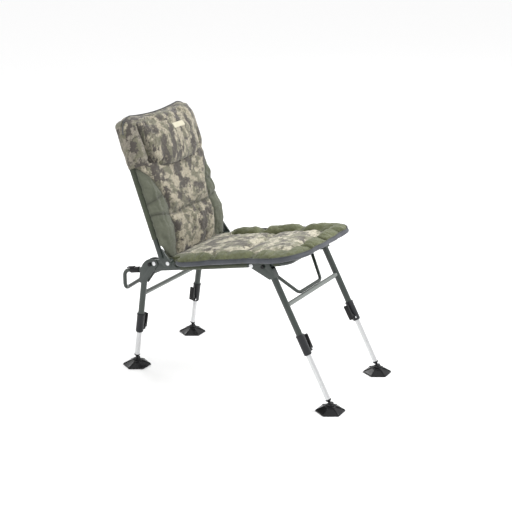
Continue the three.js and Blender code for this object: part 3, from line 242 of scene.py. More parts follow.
def mixed(tree, factor, first, second):
    made = tree.nodes.new("ShaderNodeMix")
    made.data_type = "RGBA"
    sockets = {"factor": made.inputs[0], "first": made.inputs[6], "second": made.inputs[7]}
    for socket, value in zip(sockets.values(), (factor, first, second)):
        if isinstance(value, bpy.types.NodeSocket):
            tree.links.new(value, socket)
        else:
            socket.default_value = value
    return made.outputs[2]


def maths(tree, operation, first, second=0.0):
    made = tree.nodes.new("ShaderNodeMath")
    made.operation = operation
    for socket, value in zip(made.inputs, (first, second)):
        if isinstance(value, bpy.types.NodeSocket):
            tree.links.new(value, socket)
        else:
            socket.default_value = value
    return made.outputs[0]


def group(name, inputs, outputs):
    tree = bpy.data.node_groups.new(name, "ShaderNodeTree")
    for label, kind, value in inputs:
        socket = tree.interface.new_socket(label, in_out="INPUT", socket_type=kind)
        if value is not None:
            socket.default_value = value
    for label, kind in outputs:
        tree.interface.new_socket(label, in_out="OUTPUT", socket_type=kind)
    return tree, tree.nodes.new("NodeGroupInput"), tree.nodes.new("NodeGroupOutput")


VECTOR = "NodeSocketVector"
FLOAT = "NodeSocketFloat"
COLOUR = "NodeSocketColor"


def noise_factor(tree, vector, scale, detail=4.0, roughness=0.6, distortion=0.0):
    made = tree.nodes.new("ShaderNodeTexNoise")
    for label, value in (("Scale", scale), ("Detail", detail), ("Roughness", roughness),
                         ("Distortion", distortion)):
        if isinstance(value, bpy.types.NodeSocket):
            tree.links.new(value, made.inputs[label])
        else:
            made.inputs[label].default_value = value
    tree.links.new(vector, made.inputs["Vector"])
    return made.outputs["Fac"]


def moved(tree, vector, offset, scale=(1, 1, 1)):
    made = tree.nodes.new("ShaderNodeMapping")
    dial(made, Location=offset, Scale=scale)
    tree.links.new(vector, made.inputs["Vector"])
    return made.outputs["Vector"]


def camouflage_group():
    """Blotches in four earth colours: ragged patches over ragged patches, with fine flecks."""
    tree, given, result = group("camouflage", [
        ("Vector", VECTOR, None), ("Size", FLOAT, 1.0),
        ("Light", COLOUR, (0.41, 0.37, 0.28, 1)), ("Beige", COLOUR, (0.24, 0.218, 0.165, 1)),
        ("Middle", COLOUR, (0.14, 0.135, 0.092, 1)), ("Dark", COLOUR, (0.062, 0.054, 0.046, 1)),
    ], [("Color", COLOUR)])
    size = given.outputs["Size"]
    ragged = tree.nodes.new("ShaderNodeTexNoise")
    dial(ragged, Scale=210.0, Detail=3.0)
    tree.links.new(given.outputs["Vector"], ragged.inputs["Vector"])
    jitter = tree.nodes.new("ShaderNodeVectorMath")
    jitter.operation = "MULTIPLY_ADD"
    jitter.inputs[1].default_value = (0.016, 0.016, 0.016)
    tree.links.new(ragged.outputs["Color"], jitter.inputs[0])
    tree.links.new(given.outputs["Vector"], jitter.inputs[2])
    vector = jitter.outputs["Vector"]
    large = noise_factor(tree, vector, maths(tree, "MULTIPLY", size, 18.0), 6.0, 0.62, 0.1)
    other = noise_factor(tree, moved(tree, vector, (3.1, 1.7, 5.3)),
                         maths(tree, "MULTIPLY", size, 27.0), 6.0, 0.62, 0.1)
    small = noise_factor(tree, moved(tree, vector, (7.7, 2.9, 0.4)),
                         maths(tree, "MULTIPLY", size, 95.0), 6.0, 0.7, 0.0)
    tone = mixed(tree, ramp(tree, small, [(0.38, grey(0)), (0.62, grey(1))]),
                 given.outputs["Light"], given.outputs["Beige"])
    patch = ramp(tree, other, [(0.50, grey(0)), (0.525, grey(1))])
    tone = mixed(tree, patch, tone, given.outputs["Middle"])
    blotch = ramp(tree, large, [(0.525, grey(0)), (0.54, grey(1))])
    tone = mixed(tree, blotch, tone, given.outputs["Dark"])
    fleck = ramp(tree, small, [(0.56, grey(0)), (0.60, grey(1))])
    tone = mixed(tree, maths(tree, "MULTIPLY", fleck, 0.7), tone, given.outputs["Dark"])
    speck = ramp(tree, small, [(0.36, grey(1)), (0.40, grey(0))])
    tone = mixed(tree, maths(tree, "MULTIPLY", speck, 0.45), tone, given.outputs["Light"])
    tree.links.new(tone, result.inputs["Color"])
    return tree


def weave_group():
    """Crossed threads of a coarse woven cloth, as a height."""
    tree, given, result = group("weave", [
        ("Vector", VECTOR, None), ("Threads", FLOAT, 900.0),
    ], [("Height", FLOAT)])
    waves = []
    for direction in ("X", "DIAGONAL"):
        made = tree.nodes.new("ShaderNodeTexWave")
        made.bands_direction = direction
        made.inputs["Distortion"].default_value = 0.6
        made.inputs["Detail"].default_value = 1.0
        tree.links.new(given.outputs["Vector"], made.inputs["Vector"])
        tree.links.new(given.outputs["Threads"], made.inputs["Scale"])
        waves.append(made.outputs["Fac"])
    crossed = maths(tree, "MULTIPLY", *waves)
    creases = noise_factor(tree, given.outputs["Vector"], 38.0, 5.0, 0.6, 0.3)
    height = maths(tree, "ADD", maths(tree, "MULTIPLY", crossed, 0.25), creases)
    tree.links.new(height, result.inputs["Height"])
    return tree


def wear_group():
    """Edges rubbed lighter and faint dust in the low frequencies."""
    tree, given, result = group("wear", [
        ("Vector", VECTOR, None), ("Edge Width", FLOAT, 0.0012), ("Dust Scale", FLOAT, 22.0),
    ], [("Edge", FLOAT), ("Dust", FLOAT)])
    bevel = tree.nodes.new("ShaderNodeBevel")
    bevel.samples = 4
    tree.links.new(given.outputs["Edge Width"], bevel.inputs["Radius"])
    geometry = tree.nodes.new("ShaderNodeNewGeometry")
    dot = tree.nodes.new("ShaderNodeVectorMath")
    dot.operation = "DOT_PRODUCT"
    tree.links.new(bevel.outputs["Normal"], dot.inputs[0])
    tree.links.new(geometry.outputs["Normal"], dot.inputs[1])
    edge = maths(tree, "MULTIPLY", maths(tree, "SUBTRACT", 1.0, dot.outputs["Value"]), 6.0)
    scratch = noise_factor(tree, given.outputs["Vector"], 160.0, 5.0, 0.7)
    broken = ramp(tree, scratch, [(0.45, grey(0)), (0.6, grey(1))])
    edge = maths(tree, "MINIMUM", maths(tree, "MULTIPLY", edge, broken), 1.0)
    tree.links.new(edge, result.inputs["Edge"])
    tree.links.new(noise_factor(tree, given.outputs["Vector"], given.outputs["Dust Scale"], 4.0),
                   result.inputs["Dust"])
    return tree


CAMOUFLAGE = camouflage_group()
WEAVE = weave_group()
WEAR = wear_group()


def use(tree, effect, vector, **values):
    made = tree.nodes.new("ShaderNodeGroup")
    made.node_tree = effect
    tree.links.new(vector, made.inputs["Vector"])
    dial(made, **values)
    return made.outputs


def object_vector(tree):
    return tree.nodes.new("ShaderNodeTexCoord").outputs["Object"]


def bump(tree, shader, height, distance):
    made = tree.nodes.new("ShaderNodeBump")
    dial(made, Distance=distance)
    tree.links.new(height, made.inputs["Height"])
    tree.links.new(made.outputs["Normal"], shader.inputs["Normal"])


def hard_finish(name, colour, worn, roughness, metallic=0.0, grain=300.0, depth=0.00004, coat=0.0,
                sparkle=0.5):
    """Paint, metal or moulded plastic: rubbed edges, faint dust and a fine grain."""
    material, shader, tree = new_material(name)
    vector = object_vector(tree)
    wear = use(tree, WEAR, vector)
    dusty = mixed(tree, maths(tree, "MULTIPLY", wear["Dust"], 0.14), colour, worn)
    tree.links.new(mixed(tree, wear["Edge"], dusty, worn), shader.inputs["Base Color"])
    rough = maths(tree, "ADD", maths(tree, "MULTIPLY", wear["Dust"], 0.16), roughness - 0.08)
    tree.links.new(rough, shader.inputs["Roughness"])
    dial(shader, Metallic=metallic, Specular_IOR_Level=sparkle, Coat_Weight=coat, Coat_Roughness=0.25)
    bump(tree, shader, noise_factor(tree, vector, grain, 3.0), depth)
    return material


def drawn_metal():
    """Polished aluminium tube with fine lines and slight smudges."""
    material, shader, tree = new_material("drawn_aluminium")
    vector = object_vector(tree)
    lines = noise_factor(tree, moved(tree, vector, (0, 0, 0), (900, 900, 14)), 1.0, 3.0)
    smudge = noise_factor(tree, vector, 30.0, 4.0)
    tree.links.new(ramp(tree, lines, [(0.3, (0.52, 0.53, 0.54, 1)), (0.7, (0.72, 0.72, 0.72, 1))]),
                   shader.inputs["Base Color"])
    tree.links.new(maths(tree, "ADD", maths(tree, "MULTIPLY", smudge, 0.2), 0.2), shader.inputs["Roughness"])
    dial(shader, Metallic=0.9)
    bump(tree, shader, lines, 0.00001)
    return material


OLIVE = (0.075, 0.084, 0.036, 1)
OLIVE_PALE = (0.135, 0.145, 0.072, 1)
OLIVE_GREY = (0.080, 0.087, 0.060, 1)
OLIVE_GREY_PALE = (0.115, 0.122, 0.088, 1)


def cloth(name, low, high, threads=900.0, roughness=0.9, sheen=0.25, depth=0.0006):
    """A plain woven cloth: threads, soft creases and uneven dye."""
    material, shader, tree = new_material(name)
    vector = object_vector(tree)
    woven = use(tree, WEAVE, vector, Threads=threads)
    dye = noise_factor(tree, vector, 16.0, 5.0)
    tree.links.new(mixed(tree, ramp(tree, dye, [(0.3, grey(0)), (0.7, grey(1))]), low, high),
                   shader.inputs["Base Color"])
    dial(shader, Roughness=roughness, Sheen_Weight=sheen, Sheen_Roughness=0.5)
    bump(tree, shader, woven["Height"], depth)
    return material


def attribute(tree, name):
    made = tree.nodes.new("ShaderNodeAttribute")
    made.attribute_name = name
    return made.outputs["Fac"]


def padded_cloth(name, stretch, size, border_tones, **tones):
    """Camouflage panel beside an olive border, split by the piece's own panel attribute, with dark seam lines and
    painted shade from the seam attribute.
    """
    material, shader, tree = new_material(name)
    vector = object_vector(tree)
    print_colour = use(tree, CAMOUFLAGE, moved(tree, vector, (0, 0, 0), stretch), Size=size, **tones)["Color"]
    dye = noise_factor(tree, vector, 18.0, 5.0)
    border = mixed(tree, ramp(tree, dye, [(0.3, grey(0)), (0.7, grey(1))]), *border_tones)
    inside = maths(tree, "GREATER_THAN", attribute(tree, "panel"), 0.0)
    tone = mixed(tree, inside, border, print_colour)
    # Near-black tone from the seam attribute: a dark seam line, and painted shade that fades out within 12 mm into
    # the crease beside it. Beside and round the head pillow it is painted shade alone.
    seam = ramp(tree, attribute(tree, "seam"), [(0.0, grey(0.75)), (0.004, grey(0.28)), (0.012, grey(0))])
    tone = mixed(tree, seam, tone, (0.028, 0.028, 0.02, 1))
    tree.links.new(tone, shader.inputs["Base Color"])
    dial(shader, Roughness=0.92, Sheen_Weight=0.2, Sheen_Roughness=0.5)
    woven = use(tree, WEAVE, vector, Threads=800.0)
    bump(tree, shader, woven["Height"], 0.0008)
    return material


# Modelling helpers


def deselect():
    for other in list(bpy.context.selected_objects):
        other.select_set(False)


def activate(piece):
    deselect()
    piece.select_set(True)
    bpy.context.view_layer.objects.active = piece


def apply_place():
    bpy.ops.object.transform_apply(location=True, rotation=True, scale=True)


def edit_all():
    bpy.ops.object.mode_set(mode="EDIT")
    bpy.ops.mesh.select_all(action="SELECT")


def settle(piece, name, place, material, node, added=False):
    """Bakes a piece's place into its mesh. It rides as its node does, and replaces it unless it is added."""
    activate(piece)
    apply_place()
    if place is not None:
        piece.data.transform(place)
    piece.name = name
    piece.data.name = name
    piece.data.materials.clear()
    piece.data.materials.append(material)
    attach(piece, body_of_node(node))
    if not added:
        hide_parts(node)


def points_of(piece):
    flat = np.empty(len(piece.data.vertices) * 3)
    piece.data.vertices.foreach_get("co", flat)
    return flat.reshape(-1, 3)


def set_points(piece, points):
    piece.data.vertices.foreach_set("co", np.asarray(points, float).ravel())
    piece.data.update()


def normals_of(piece):
    flat = np.empty(len(piece.data.vertices) * 3)
    piece.data.vertices.foreach_get("normal", flat)
    return flat.reshape(-1, 3)


def finish_with(piece, kind, **values):
    activate(piece)
    modifier = piece.modifiers.new(kind.lower(), kind)
    for key, value in values.items():
        setattr(modifier, key, value)
    bpy.ops.object.modifier_apply(modifier=modifier.name)


def subdivided(piece, levels):
    finish_with(piece, "SUBSURF", levels=levels, render_levels=levels)


def smooth(piece, degrees):
    activate(piece)
    bpy.ops.object.shade_smooth_by_angle(angle=math.radians(degrees), keep_sharp_edges=False)


def bent_tube(corners, bends, outer, wall=TUBE_WALL, sides=32, turn_steps=10):
    """A ring extruded along straight runs and spun round bends, then given its wall."""
    points = [Vector(corner) for corner in corners]
    heading = (points[1] - points[0]).normalized()
    deselect()
    bpy.ops.mesh.primitive_circle_add(vertices=sides, radius=outer / 2)
    piece = bpy.context.object
    piece.rotation_mode = "QUATERNION"
    piece.rotation_quaternion = heading.to_track_quat("Z", "Y")
    piece.location = points[0]
    apply_place()
    edit_all()
    here = points[0]
    for index in range(1, len(points)):
        corner = points[index]
        if index < len(points) - 1:
            back = (here - corner).normalized()
            ahead = (points[index + 1] - corner).normalized()
            half = back.angle(ahead) / 2
            reach = bends[index - 1] / math.tan(half)
            stop = corner + back * reach
            centre = corner + (back + ahead).normalized() * (bends[index - 1] / math.sin(half))
        else:
            stop = corner
        bpy.ops.mesh.extrude_region_move(TRANSFORM_OT_translate={"value": stop - here})
        here = stop
        if index < len(points) - 1:
            leave = corner + ahead * reach
            axis = (leave - centre).cross(stop - centre).normalized()
            bpy.ops.mesh.spin(steps=turn_steps, angle=math.pi - 2 * half, center=centre, axis=axis)
            here = leave
    bpy.ops.mesh.select_all(action="SELECT")
    bpy.ops.mesh.remove_doubles(threshold=1e-6)
    bpy.ops.mesh.normals_make_consistent(inside=False)
    bpy.ops.object.mode_set(mode="OBJECT")
    finish_with(piece, "SOLIDIFY", thickness=wall, offset=-1)
    smooth(piece, 40)
    return piece


def copied(name):
    """A merged copy of a CAD node's mesh, as a new object."""
    original = frame["nodes"][name]
    piece = bpy.data.objects.new(name + "_shape", original.data.copy())
    scene.collection.objects.link(piece)
    for key in list(piece.keys()):
        del piece[key]
    activate(piece)
    edit_all()
    bpy.ops.mesh.remove_doubles(threshold=2e-6)
    bpy.ops.mesh.tris_convert_to_quads(face_threshold=math.radians(2), shape_threshold=math.radians(60))
    bpy.ops.object.mode_set(mode="OBJECT")
    return piece


def eased(piece, width, degrees):
    """Rounds the edges that are sharper than so many degrees."""
    finish_with(piece, "BEVEL", width=width, segments=2, limit_method="ANGLE",
                angle_limit=math.radians(degrees))


def refined(name, material):
    """The CAD shape with its hard edges eased and its round faces shaded round."""
    piece = copied(name)
    eased(piece, 0.4 * MM, 37)
    smooth(piece, 36)
    settle(piece, name + "_finish", None, material, name)


def body_of_node(name):
    for body, members in frame["record"]["behaviour"]["bodies"].items():
        if name in members:
            return body
    raise ValueError(name)


camera()
studio()

PAINT = hard_finish("frame_paint", (0.018, 0.026, 0.022, 1), (0.10, 0.12, 0.105, 1), 0.30, 0.1, coat=0.3)
PALE_PAINT = hard_finish("crossbar_paint", (0.17, 0.185, 0.175, 1), (0.34, 0.35, 0.34, 1), 0.42, 0.45)
ZINC = hard_finish("zinc_rivet", (0.66, 0.67, 0.68, 1), (0.85, 0.85, 0.85, 1), 0.34, 0.85)
BLACK = hard_finish("black_moulding", (0.004, 0.004, 0.005, 1), (0.05, 0.05, 0.05, 1), 0.40,
                    grain=420.0, depth=0.00008, sparkle=0.25)
RUBBER = hard_finish("foot_moulding", (0.003, 0.003, 0.004, 1), (0.07, 0.07, 0.07, 1), 0.22,
                     grain=260.0, sparkle=0.3)
CLAMP = hard_finish("clamp_moulding", (0.010, 0.011, 0.013, 1), (0.07, 0.07, 0.075, 1), 0.42,
                    grain=420.0, depth=0.00008, sparkle=0.3)
ALUMINIUM = drawn_metal()
SLING_CLOTH = cloth("sling_cloth", (0.035, 0.042, 0.026, 1), (0.062, 0.072, 0.045, 1), 600.0)
BINDING = cloth("binding_tape", (0.036, 0.040, 0.048, 1), (0.070, 0.076, 0.088, 1), 1500.0, 0.7, 0.1, 0.0003)
LABEL = cloth("label_cloth", (0.47, 0.44, 0.33, 1), (0.60, 0.57, 0.44, 1), 1800.0, 0.8, 0.1, 0.0002)
SEAT_CLOTH = padded_cloth("seat_cloth", (1.0, 0.8, 1.0), 1.3, (OLIVE, OLIVE_PALE),
                          Light=(0.60, 0.56, 0.44, 1), Beige=(0.42, 0.39, 0.30, 1),
                          Middle=(0.24, 0.235, 0.165, 1), Dark=(0.115, 0.105, 0.085, 1))
BACK_CLOTH = padded_cloth("back_cloth", (0.9, 1.0, 1.0), 1.35, (OLIVE_GREY, OLIVE_GREY_PALE))
PILLOW_CLOTH = padded_cloth("pillow_cloth", (1.3, 1.3, 0.55), 1.35, (OLIVE_GREY, OLIVE_GREY_PALE))
# The hood is the same camouflage cloth as the back pad, but this copy has darker Light and Beige tones: painted
# shade over the whole hood and its roll.
HOOD_CLOTH_PAINTED_SHADE = padded_cloth("hood_cloth_painted_shade", (1.0, 1.0, 0.9), 1.35, (OLIVE_GREY, OLIVE_GREY_PALE),
                          Light=(0.26, 0.235, 0.19, 1), Beige=(0.18, 0.165, 0.13, 1))
THREAD = cloth("sewing_thread", (0.10, 0.11, 0.075, 1), (0.17, 0.18, 0.13, 1), 4000.0, 0.7, 0.2, 0.0001)
PIPING = cloth("piping_cord", (0.035, 0.038, 0.04, 1), (0.07, 0.073, 0.075, 1), 1500.0, 0.8, 0.1, 0.0003)


# Frame tubes


def seat_frame():
    x = FRAME_HALF_WIDTH
    z = -RAIL_DROP
    piece = bent_tube([(-x, RAIL_REAR, z), (-x, -RAIL_FRONT, z), (x, -RAIL_FRONT, z), (x, RAIL_REAR, z)],
                      [RAIL_BEND, RAIL_BEND], RAIL_OUTER)
    settle(piece, "seat_frame_tube", SEAT, PAINT, "seat_frame")


def rear_spreader():
    start = RAIL_REAR + GAP
    rear = start + SPREADER_REACH
    low = -RAIL_DROP - SPREADER_DROP

    def arm(side):
        x = side * FRAME_HALF_WIDTH
        return [(x, start, -RAIL_DROP), (x, rear - SPREADER_OUTER, -RAIL_DROP - GAP), (x, rear, low)]

    corners = arm(RIGHT) + [(0, rear + SPREADER_BOW, low)] + arm(LEFT)[::-1]
    bends = [SPREADER_BEND, SPREADER_BEND, SPREADER_BOW_BEND, SPREADER_BEND, SPREADER_BEND]
    piece = bent_tube(corners, bends, SPREADER_OUTER)
    settle(piece, "rear_spreader_bar", SEAT, PAINT, "rear_spreader")


def back_tube():
    x = BACK_TUBE_HALF_WIDTH
    y = BACK_TUBE_SETBACK
    corners = [(-x, y, BACK_TUBE_FOOT), (-x, y, BACK_TUBE_TOP), (0, y, BACK_TUBE_TOP - BACK_TUBE_DIP),
               (x, y, BACK_TUBE_TOP), (x, y, BACK_TUBE_FOOT)]
    piece = bent_tube(corners, [BACK_BEND, BACK_TOP_BEND, BACK_BEND], BACK_TUBE_OUTER)
    settle(piece, "back_frame_tube", BACK, PAINT, "back_tube")


LEG_SIZES = {
    "rear": {"offset": 41.4 * MM, "top": 56 * MM, "clamp": 209 * MM, "crossbar": 132 * MM, "inner": 205 * MM},
    "front": {"offset": -55 * MM, "top": 36 * MM, "clamp": 273 * MM, "crossbar": 167 * MM, "inner": 290 * MM},
}
CLAMP_OVERLAP = 30 * MM
PLUG_TOP = 18.6 * MM
LEG_SIDES = 40


def leg_tubes(where):
    sizes = LEG_SIZES[where]
    place = LEGS[where]
    y = sizes["offset"]
    ankle = place.inverted() @ joint_point(f"{where}_foot_tilt_left")
    inner_foot = ankle.z + PLUG_TOP + GAP
    for name, side in SIDES.items():
        x = side * FRAME_HALF_WIDTH
        outer = bent_tube([(x, y, -sizes["top"]), (x, y, -sizes["clamp"] - CLAMP_OVERLAP)], [], LEG_OUTER,
                          sides=LEG_SIDES)
        settle(outer, f"{where}_leg_{name}", place, PAINT, f"{where}_leg_tube_{name}")
        inner = bent_tube([(x, y, inner_foot + sizes["inner"]), (x, y, inner_foot)], [], INNER_OUTER,
                          sides=LEG_SIDES)
        settle(inner, f"{where}_inner_leg_{name}", place, ALUMINIUM, f"{where}_inner_tube_{name}")
    reach = FRAME_HALF_WIDTH - LEG_OUTER / 2 + TUBE_WALL
    z = -sizes["crossbar"]
    bar = bent_tube([(-reach, y, z), (reach, y, z)], [], CROSSBAR_OUTER)
    settle(bar, f"{where}_cross_tube", place, PALE_PAINT, f"{where}_crossbar")


BRACE_INSET = 13.6 * MM
BRACE_SHOULDER = (152 * MM, -20 * MM, -30 * MM)
BRACE_FOOT_HALF_WIDTH = 79 * MM
BRACE_REST_ANGLE = 12


def front_brace():
    sizes = LEG_SIZES["front"]
    apart = (CROSSBAR_OUTER + BRACE_OUTER) / 2 + GAP
    low = -sizes["crossbar"] + apart * math.cos(math.radians(BRACE_REST_ANGLE))
    y = sizes["offset"] + apart * math.sin(math.radians(BRACE_REST_ANGLE))
    inner = FRAME_HALF_WIDTH - BRACE_INSET
    shoulder_x, shoulder_y, shoulder_z = BRACE_SHOULDER
    rise = BRACE_OUTER * (inner - shoulder_x) / (inner + BRACE_OUTER - shoulder_x)

    def arm(side):
        return [(side * inner, shoulder_y, shoulder_z + rise), (side * shoulder_x, shoulder_y, shoulder_z),
                (side * BRACE_FOOT_HALF_WIDTH, y, low)]

    shoulder_bend = BRACE_BEND / 2
    piece = bent_tube(arm(RIGHT) + arm(LEFT)[::-1], [shoulder_bend, BRACE_BEND, BRACE_BEND, shoulder_bend],
                      BRACE_OUTER, sides=24)
    settle(piece, "front_brace_loop", LEGS["front"], PAINT, "front_brace")


seat_frame()
rear_spreader()
back_tube()
for where in LEGS:
    leg_tubes(where)
front_brace()


# Fittings

FITTINGS = [("hinge_channel", PAINT), ("back_gusset", PAINT), ("back_rivet", ZINC), ("rail_sleeve", BLACK)]
LEG_FITTINGS = [("bracket", PAINT), ("pivot_rivet", ZINC), ("clamp", CLAMP), ("clamp_lever", BLACK),
                ("lock_button", BLACK), ("ankle_plug", BLACK)]
FOOT_SIDES = 6
FOOT_RADIUS = 51 * MM
FOOT_CROWN_RADIUS = 17 * MM
FOOT_RIM_HEIGHT = 5 * MM
FOOT_CROWN_HEIGHT = 19 * MM
FOOT_EASE = 0.5 * MM
RIB_WIDTH = 3.4 * MM
RIB_RISE = 2.6 * MM
RIB_INSET = 3 * MM
CROWN_RING_WIDTH = 2.2 * MM


def foot_ribs(where, side):
    """Six raised ribs from the crown to the corners, and a ring that ties them round the crown."""
    name = f"{where}_foot_{side}"
    low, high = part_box(name)
    middle = Vector(((low.x + high.x) / 2, (low.y + high.y) / 2, low.z))
    bars = []
    for index in range(FOOT_SIDES):
        turn = math.tau * index / FOOT_SIDES
        inner = FOOT_CROWN_RADIUS - RIB_INSET
        outer = FOOT_RADIUS - RIB_INSET
        fall = (FOOT_CROWN_HEIGHT - FOOT_RIM_HEIGHT) / (FOOT_RADIUS - FOOT_CROWN_RADIUS)
        deselect()
        bpy.ops.mesh.primitive_cube_add(size=1)
        bar = bpy.context.object
        points = points_of(bar)
        along = np.where(points[:, 0] > 0, outer, inner)
        top = FOOT_CROWN_HEIGHT - (along - FOOT_CROWN_RADIUS) * fall
        rise = np.where(points[:, 2] > 0, RIB_RISE * np.where(points[:, 0] > 0, 0.4, 1), -RIB_RISE * 0.8)
        set_points(bar, np.stack([along, points[:, 1] * RIB_WIDTH, top + rise], axis=1))
        bar.data.transform(Matrix.Translation(middle) @ Matrix.Rotation(turn, 4, "Z"))
        bars.append(bar)
    deselect()
    bpy.ops.mesh.primitive_torus_add(
        major_radius=FOOT_CROWN_RADIUS, minor_radius=CROWN_RING_WIDTH, major_segments=36, minor_segments=10,
        location=middle + Vector((0, 0, FOOT_CROWN_HEIGHT)))
    ring = bpy.context.object
    apply_place()
    for bar in bars:
        bar.select_set(True)
    bpy.ops.object.join()
    eased(ring, FOOT_EASE, 50)
    smooth(ring, 40)
    settle(ring, name + "_ribs", None, RUBBER, name, added=True)


def fittings():
    for side in SIDES:
        for kind, material in FITTINGS:
            name = f"{kind}_{side}"
            refined(name, material)
        for where in LEGS:
            for kind, material in LEG_FITTINGS:
                name = f"{where}_{kind}_{side}"
                refined(name, material)
            name = f"{where}_foot_{side}"
            piece = copied(name)
            eased(piece, FOOT_EASE, 25)
            smooth(piece, 14)
            settle(piece, name + "_pad", None, RUBBER, name)
            foot_ribs(where, side)


fittings()


# Soft goods


def local(points, place):
    back = np.array(place.inverted())
    return points @ back[:3, :3].T + back[:3, 3]


def store(piece, name, values):
    made = piece.data.attributes.new(name, "FLOAT", "POINT")
    made.data.foreach_set("value", np.asarray(values, np.float32))


# Sewing and stuffing of the pads
RAIL_TOP = -RAIL_DROP + RAIL_OUTER / 2
PAD_VOXEL = 5 * MM
PILLOW_VOXEL = 4 * MM
PAD_PRESSURE = 5.0
SEAT_SWELL = 9 * MM
BACK_SWELL = 8 * MM
PILLOW_SWELL = 6 * MM
SEAM_HOLD = 7 * MM
SEAM_WIDTH = 6 * MM
SEAT_SEAM_DIP = 4.2 * MM
BACK_SEAM_DIP = 3.8 * MM
UNDERSIDE = 3 * MM
SEWN_ABOVE = 6 * MM
PANEL_RISE = 3 * MM
SEAT_BOLSTER_RISE = 8 * MM
BACK_BOLSTER_RISE = 3.5 * MM
SEAT_RISE_REACH = 30 * MM
BACK_RISE_REACH = 34 * MM
SEAT_PUCKER = 3.0 * MM
BACK_PUCKER = 2.6 * MM
PILLOW_PUCKER = 3.4 * MM
PUCKER_REACH = 22 * MM
SEAT_PUCKER_PITCH = 16 * MM
BACK_PUCKER_PITCH = 18 * MM
TUCK_HEIGHT = 46 * MM
BACK_PRINT_REAR = 4 * MM
PILLOW_SEAM_OUT = 4 * MM
PILLOW_HELD_WIDTH = 30 * MM


def all_print(piece):
    """Marks a whole piece as printed cloth that no seam crosses."""
    count = len(piece.data.vertices)
    store(piece, "panel", np.ones(count))
    store(piece, "seam", np.ones(count))


def remeshed(name, voxel):
    piece = copied(name)
    finish_with(piece, "REMESH", mode="VOXEL", voxel_size=voxel, adaptivity=0)
    finish_with(piece, "SMOOTH", factor=0.5, iterations=2)
    return piece


STUFFING = {"quality": 4, "mass": 0.3, "tension_stiffness": 15, "compression_stiffness": 15,
            "shear_stiffness": 8, "bending_stiffness": 0.4, "use_pressure": True, "pin_stiffness": 1}
STUFFING_FRAMES = 20


def stuffed(piece, held, cap, pressure, spare):
    """Blows the piece up between its held lines, as stuffing does, and caps how far it may swell."""
    start = points_of(piece)
    pins = piece.vertex_groups.new(name="held")
    for index, weight in enumerate(held):
        if weight > 0:
            pins.add([index], float(min(weight, 1)), "REPLACE")
    activate(piece)
    modifier = piece.modifiers.new("stuffing", "CLOTH")
    settings = modifier.settings
    for key, value in STUFFING.items():
        setattr(settings, key, value)
    settings.uniform_pressure_force = pressure
    settings.vertex_group_mass = "held"
    settings.shrink_min = -spare
    settings.effector_weights.gravity = 0
    modifier.collision_settings.use_collision = False
    modifier.point_cache.frame_end = STUFFING_FRAMES
    for number in range(1, STUFFING_FRAMES + 1):
        scene.frame_set(number)
    bpy.ops.object.modifier_apply(modifier=modifier.name)
    scene.frame_set(1)
    moves = points_of(piece) - start
    length = np.linalg.norm(moves, axis=1, keepdims=True)
    set_points(piece, start + moves * np.minimum(1, cap / np.maximum(length, 1e-9)))
    piece.vertex_groups.clear()


def near(distance, width):
    return np.clip(1 - np.abs(distance) / width, 0, 1)


def smoothstep(value, low, high):
    share = np.clip((value - low) / (high - low), 0, 1)
    return share * share * (3 - 2 * share)


def seat_marks(points):
    """Where each point of the seat pad lies: distance inside the panel and distance to the nearest seam."""
    x, y, z = local(points, SEAT).T
    across = np.abs(x) / SEAT_HALF_WIDTH
    front = SEAT_FRONT + SEAT_BOW * across ** 2
    from_side = SEAT_HALF_WIDTH - np.abs(x)
    from_front = y - front
    panel = np.minimum(from_side, from_front) - SEAT_BORDER
    middle = (SEAT_FRONT + SEAT_REAR) / 2
    half_depth = (SEAT_REAR - SEAT_FRONT) / 2
    cross = np.abs(y - middle) + 0.004 * np.sin(x * 40)
    tucks = np.full(len(x), 1.0)
    on_side = from_side < from_front
    for share in SEAT_LOBES:
        tucks = np.where(on_side, np.minimum(tucks, np.abs(y - middle - share * half_depth)), tucks)
    for share in FRONT_LOBES:
        tucks = np.where(on_side, tucks, np.minimum(tucks, np.abs(x - share * SEAT_HALF_WIDTH)))
    seam = np.where(panel > 0, np.minimum(panel, cross), np.minimum(-panel, tucks))
    return panel, seam, z


def gathered(piece, seam, amount, reach, pitch):
    """Small puckers that run out from the stitched lines."""
    points = points_of(piece)
    wobble = np.array([noise.noise(Vector(point) * 60) for point in points])
    folds = np.array([noise.noise(Vector(point) / pitch) for point in points])
    push = amount * np.exp(-seam / reach) * folds + amount * 0.6 * wobble
    set_points(piece, points + normals_of(piece) * push[:, None])


def plumped(seam, border, panel_rise, border_rise, reach):
    """Extra rise of the stuffing between its seams, for fuller lobes."""
    return np.where(border, border_rise, panel_rise) * smoothstep(seam, 0, reach)


def seat_cushion():
    piece = remeshed("seat_cushion", PAD_VOXEL)
    points = points_of(piece)
    panel, seam, z = seat_marks(points)
    base = z < RAIL_TOP + UNDERSIDE
    stuffed(piece, np.maximum(near(seam, SEAM_HOLD), base), SEAT_SWELL, PAD_PRESSURE, 0.05)
    subdivided(piece, 1)
    points = points_of(piece)
    panel, seam, z = seat_marks(points)
    upper = z > RAIL_TOP + SEWN_ABOVE
    dip = SEAT_SEAM_DIP * np.exp(-(seam / SEAM_WIDTH) ** 2) * upper
    rise = plumped(seam, panel < 0, PANEL_RISE, SEAT_BOLSTER_RISE, SEAT_RISE_REACH) * upper
    set_points(piece, points + normals_of(piece) * (rise - dip)[:, None])
    gathered(piece, seam, SEAT_PUCKER, PUCKER_REACH, SEAT_PUCKER_PITCH)
    store(piece, "panel", panel)
    store(piece, "seam", seam)
    smooth(piece, 180)
    settle(piece, "seat_pad", None, SEAT_CLOTH, "seat_cushion")


def panel_half_width(height):
    flare = np.clip((height - PANEL_FLARE_FOOT) / (HOOD_FOOT - PANEL_FLARE_FOOT), 0, 1) ** 1.4
    return PANEL_WAIST_HALF_WIDTH + (BACK_HALF_WIDTH - PANEL_WAIST_HALF_WIDTH) * flare


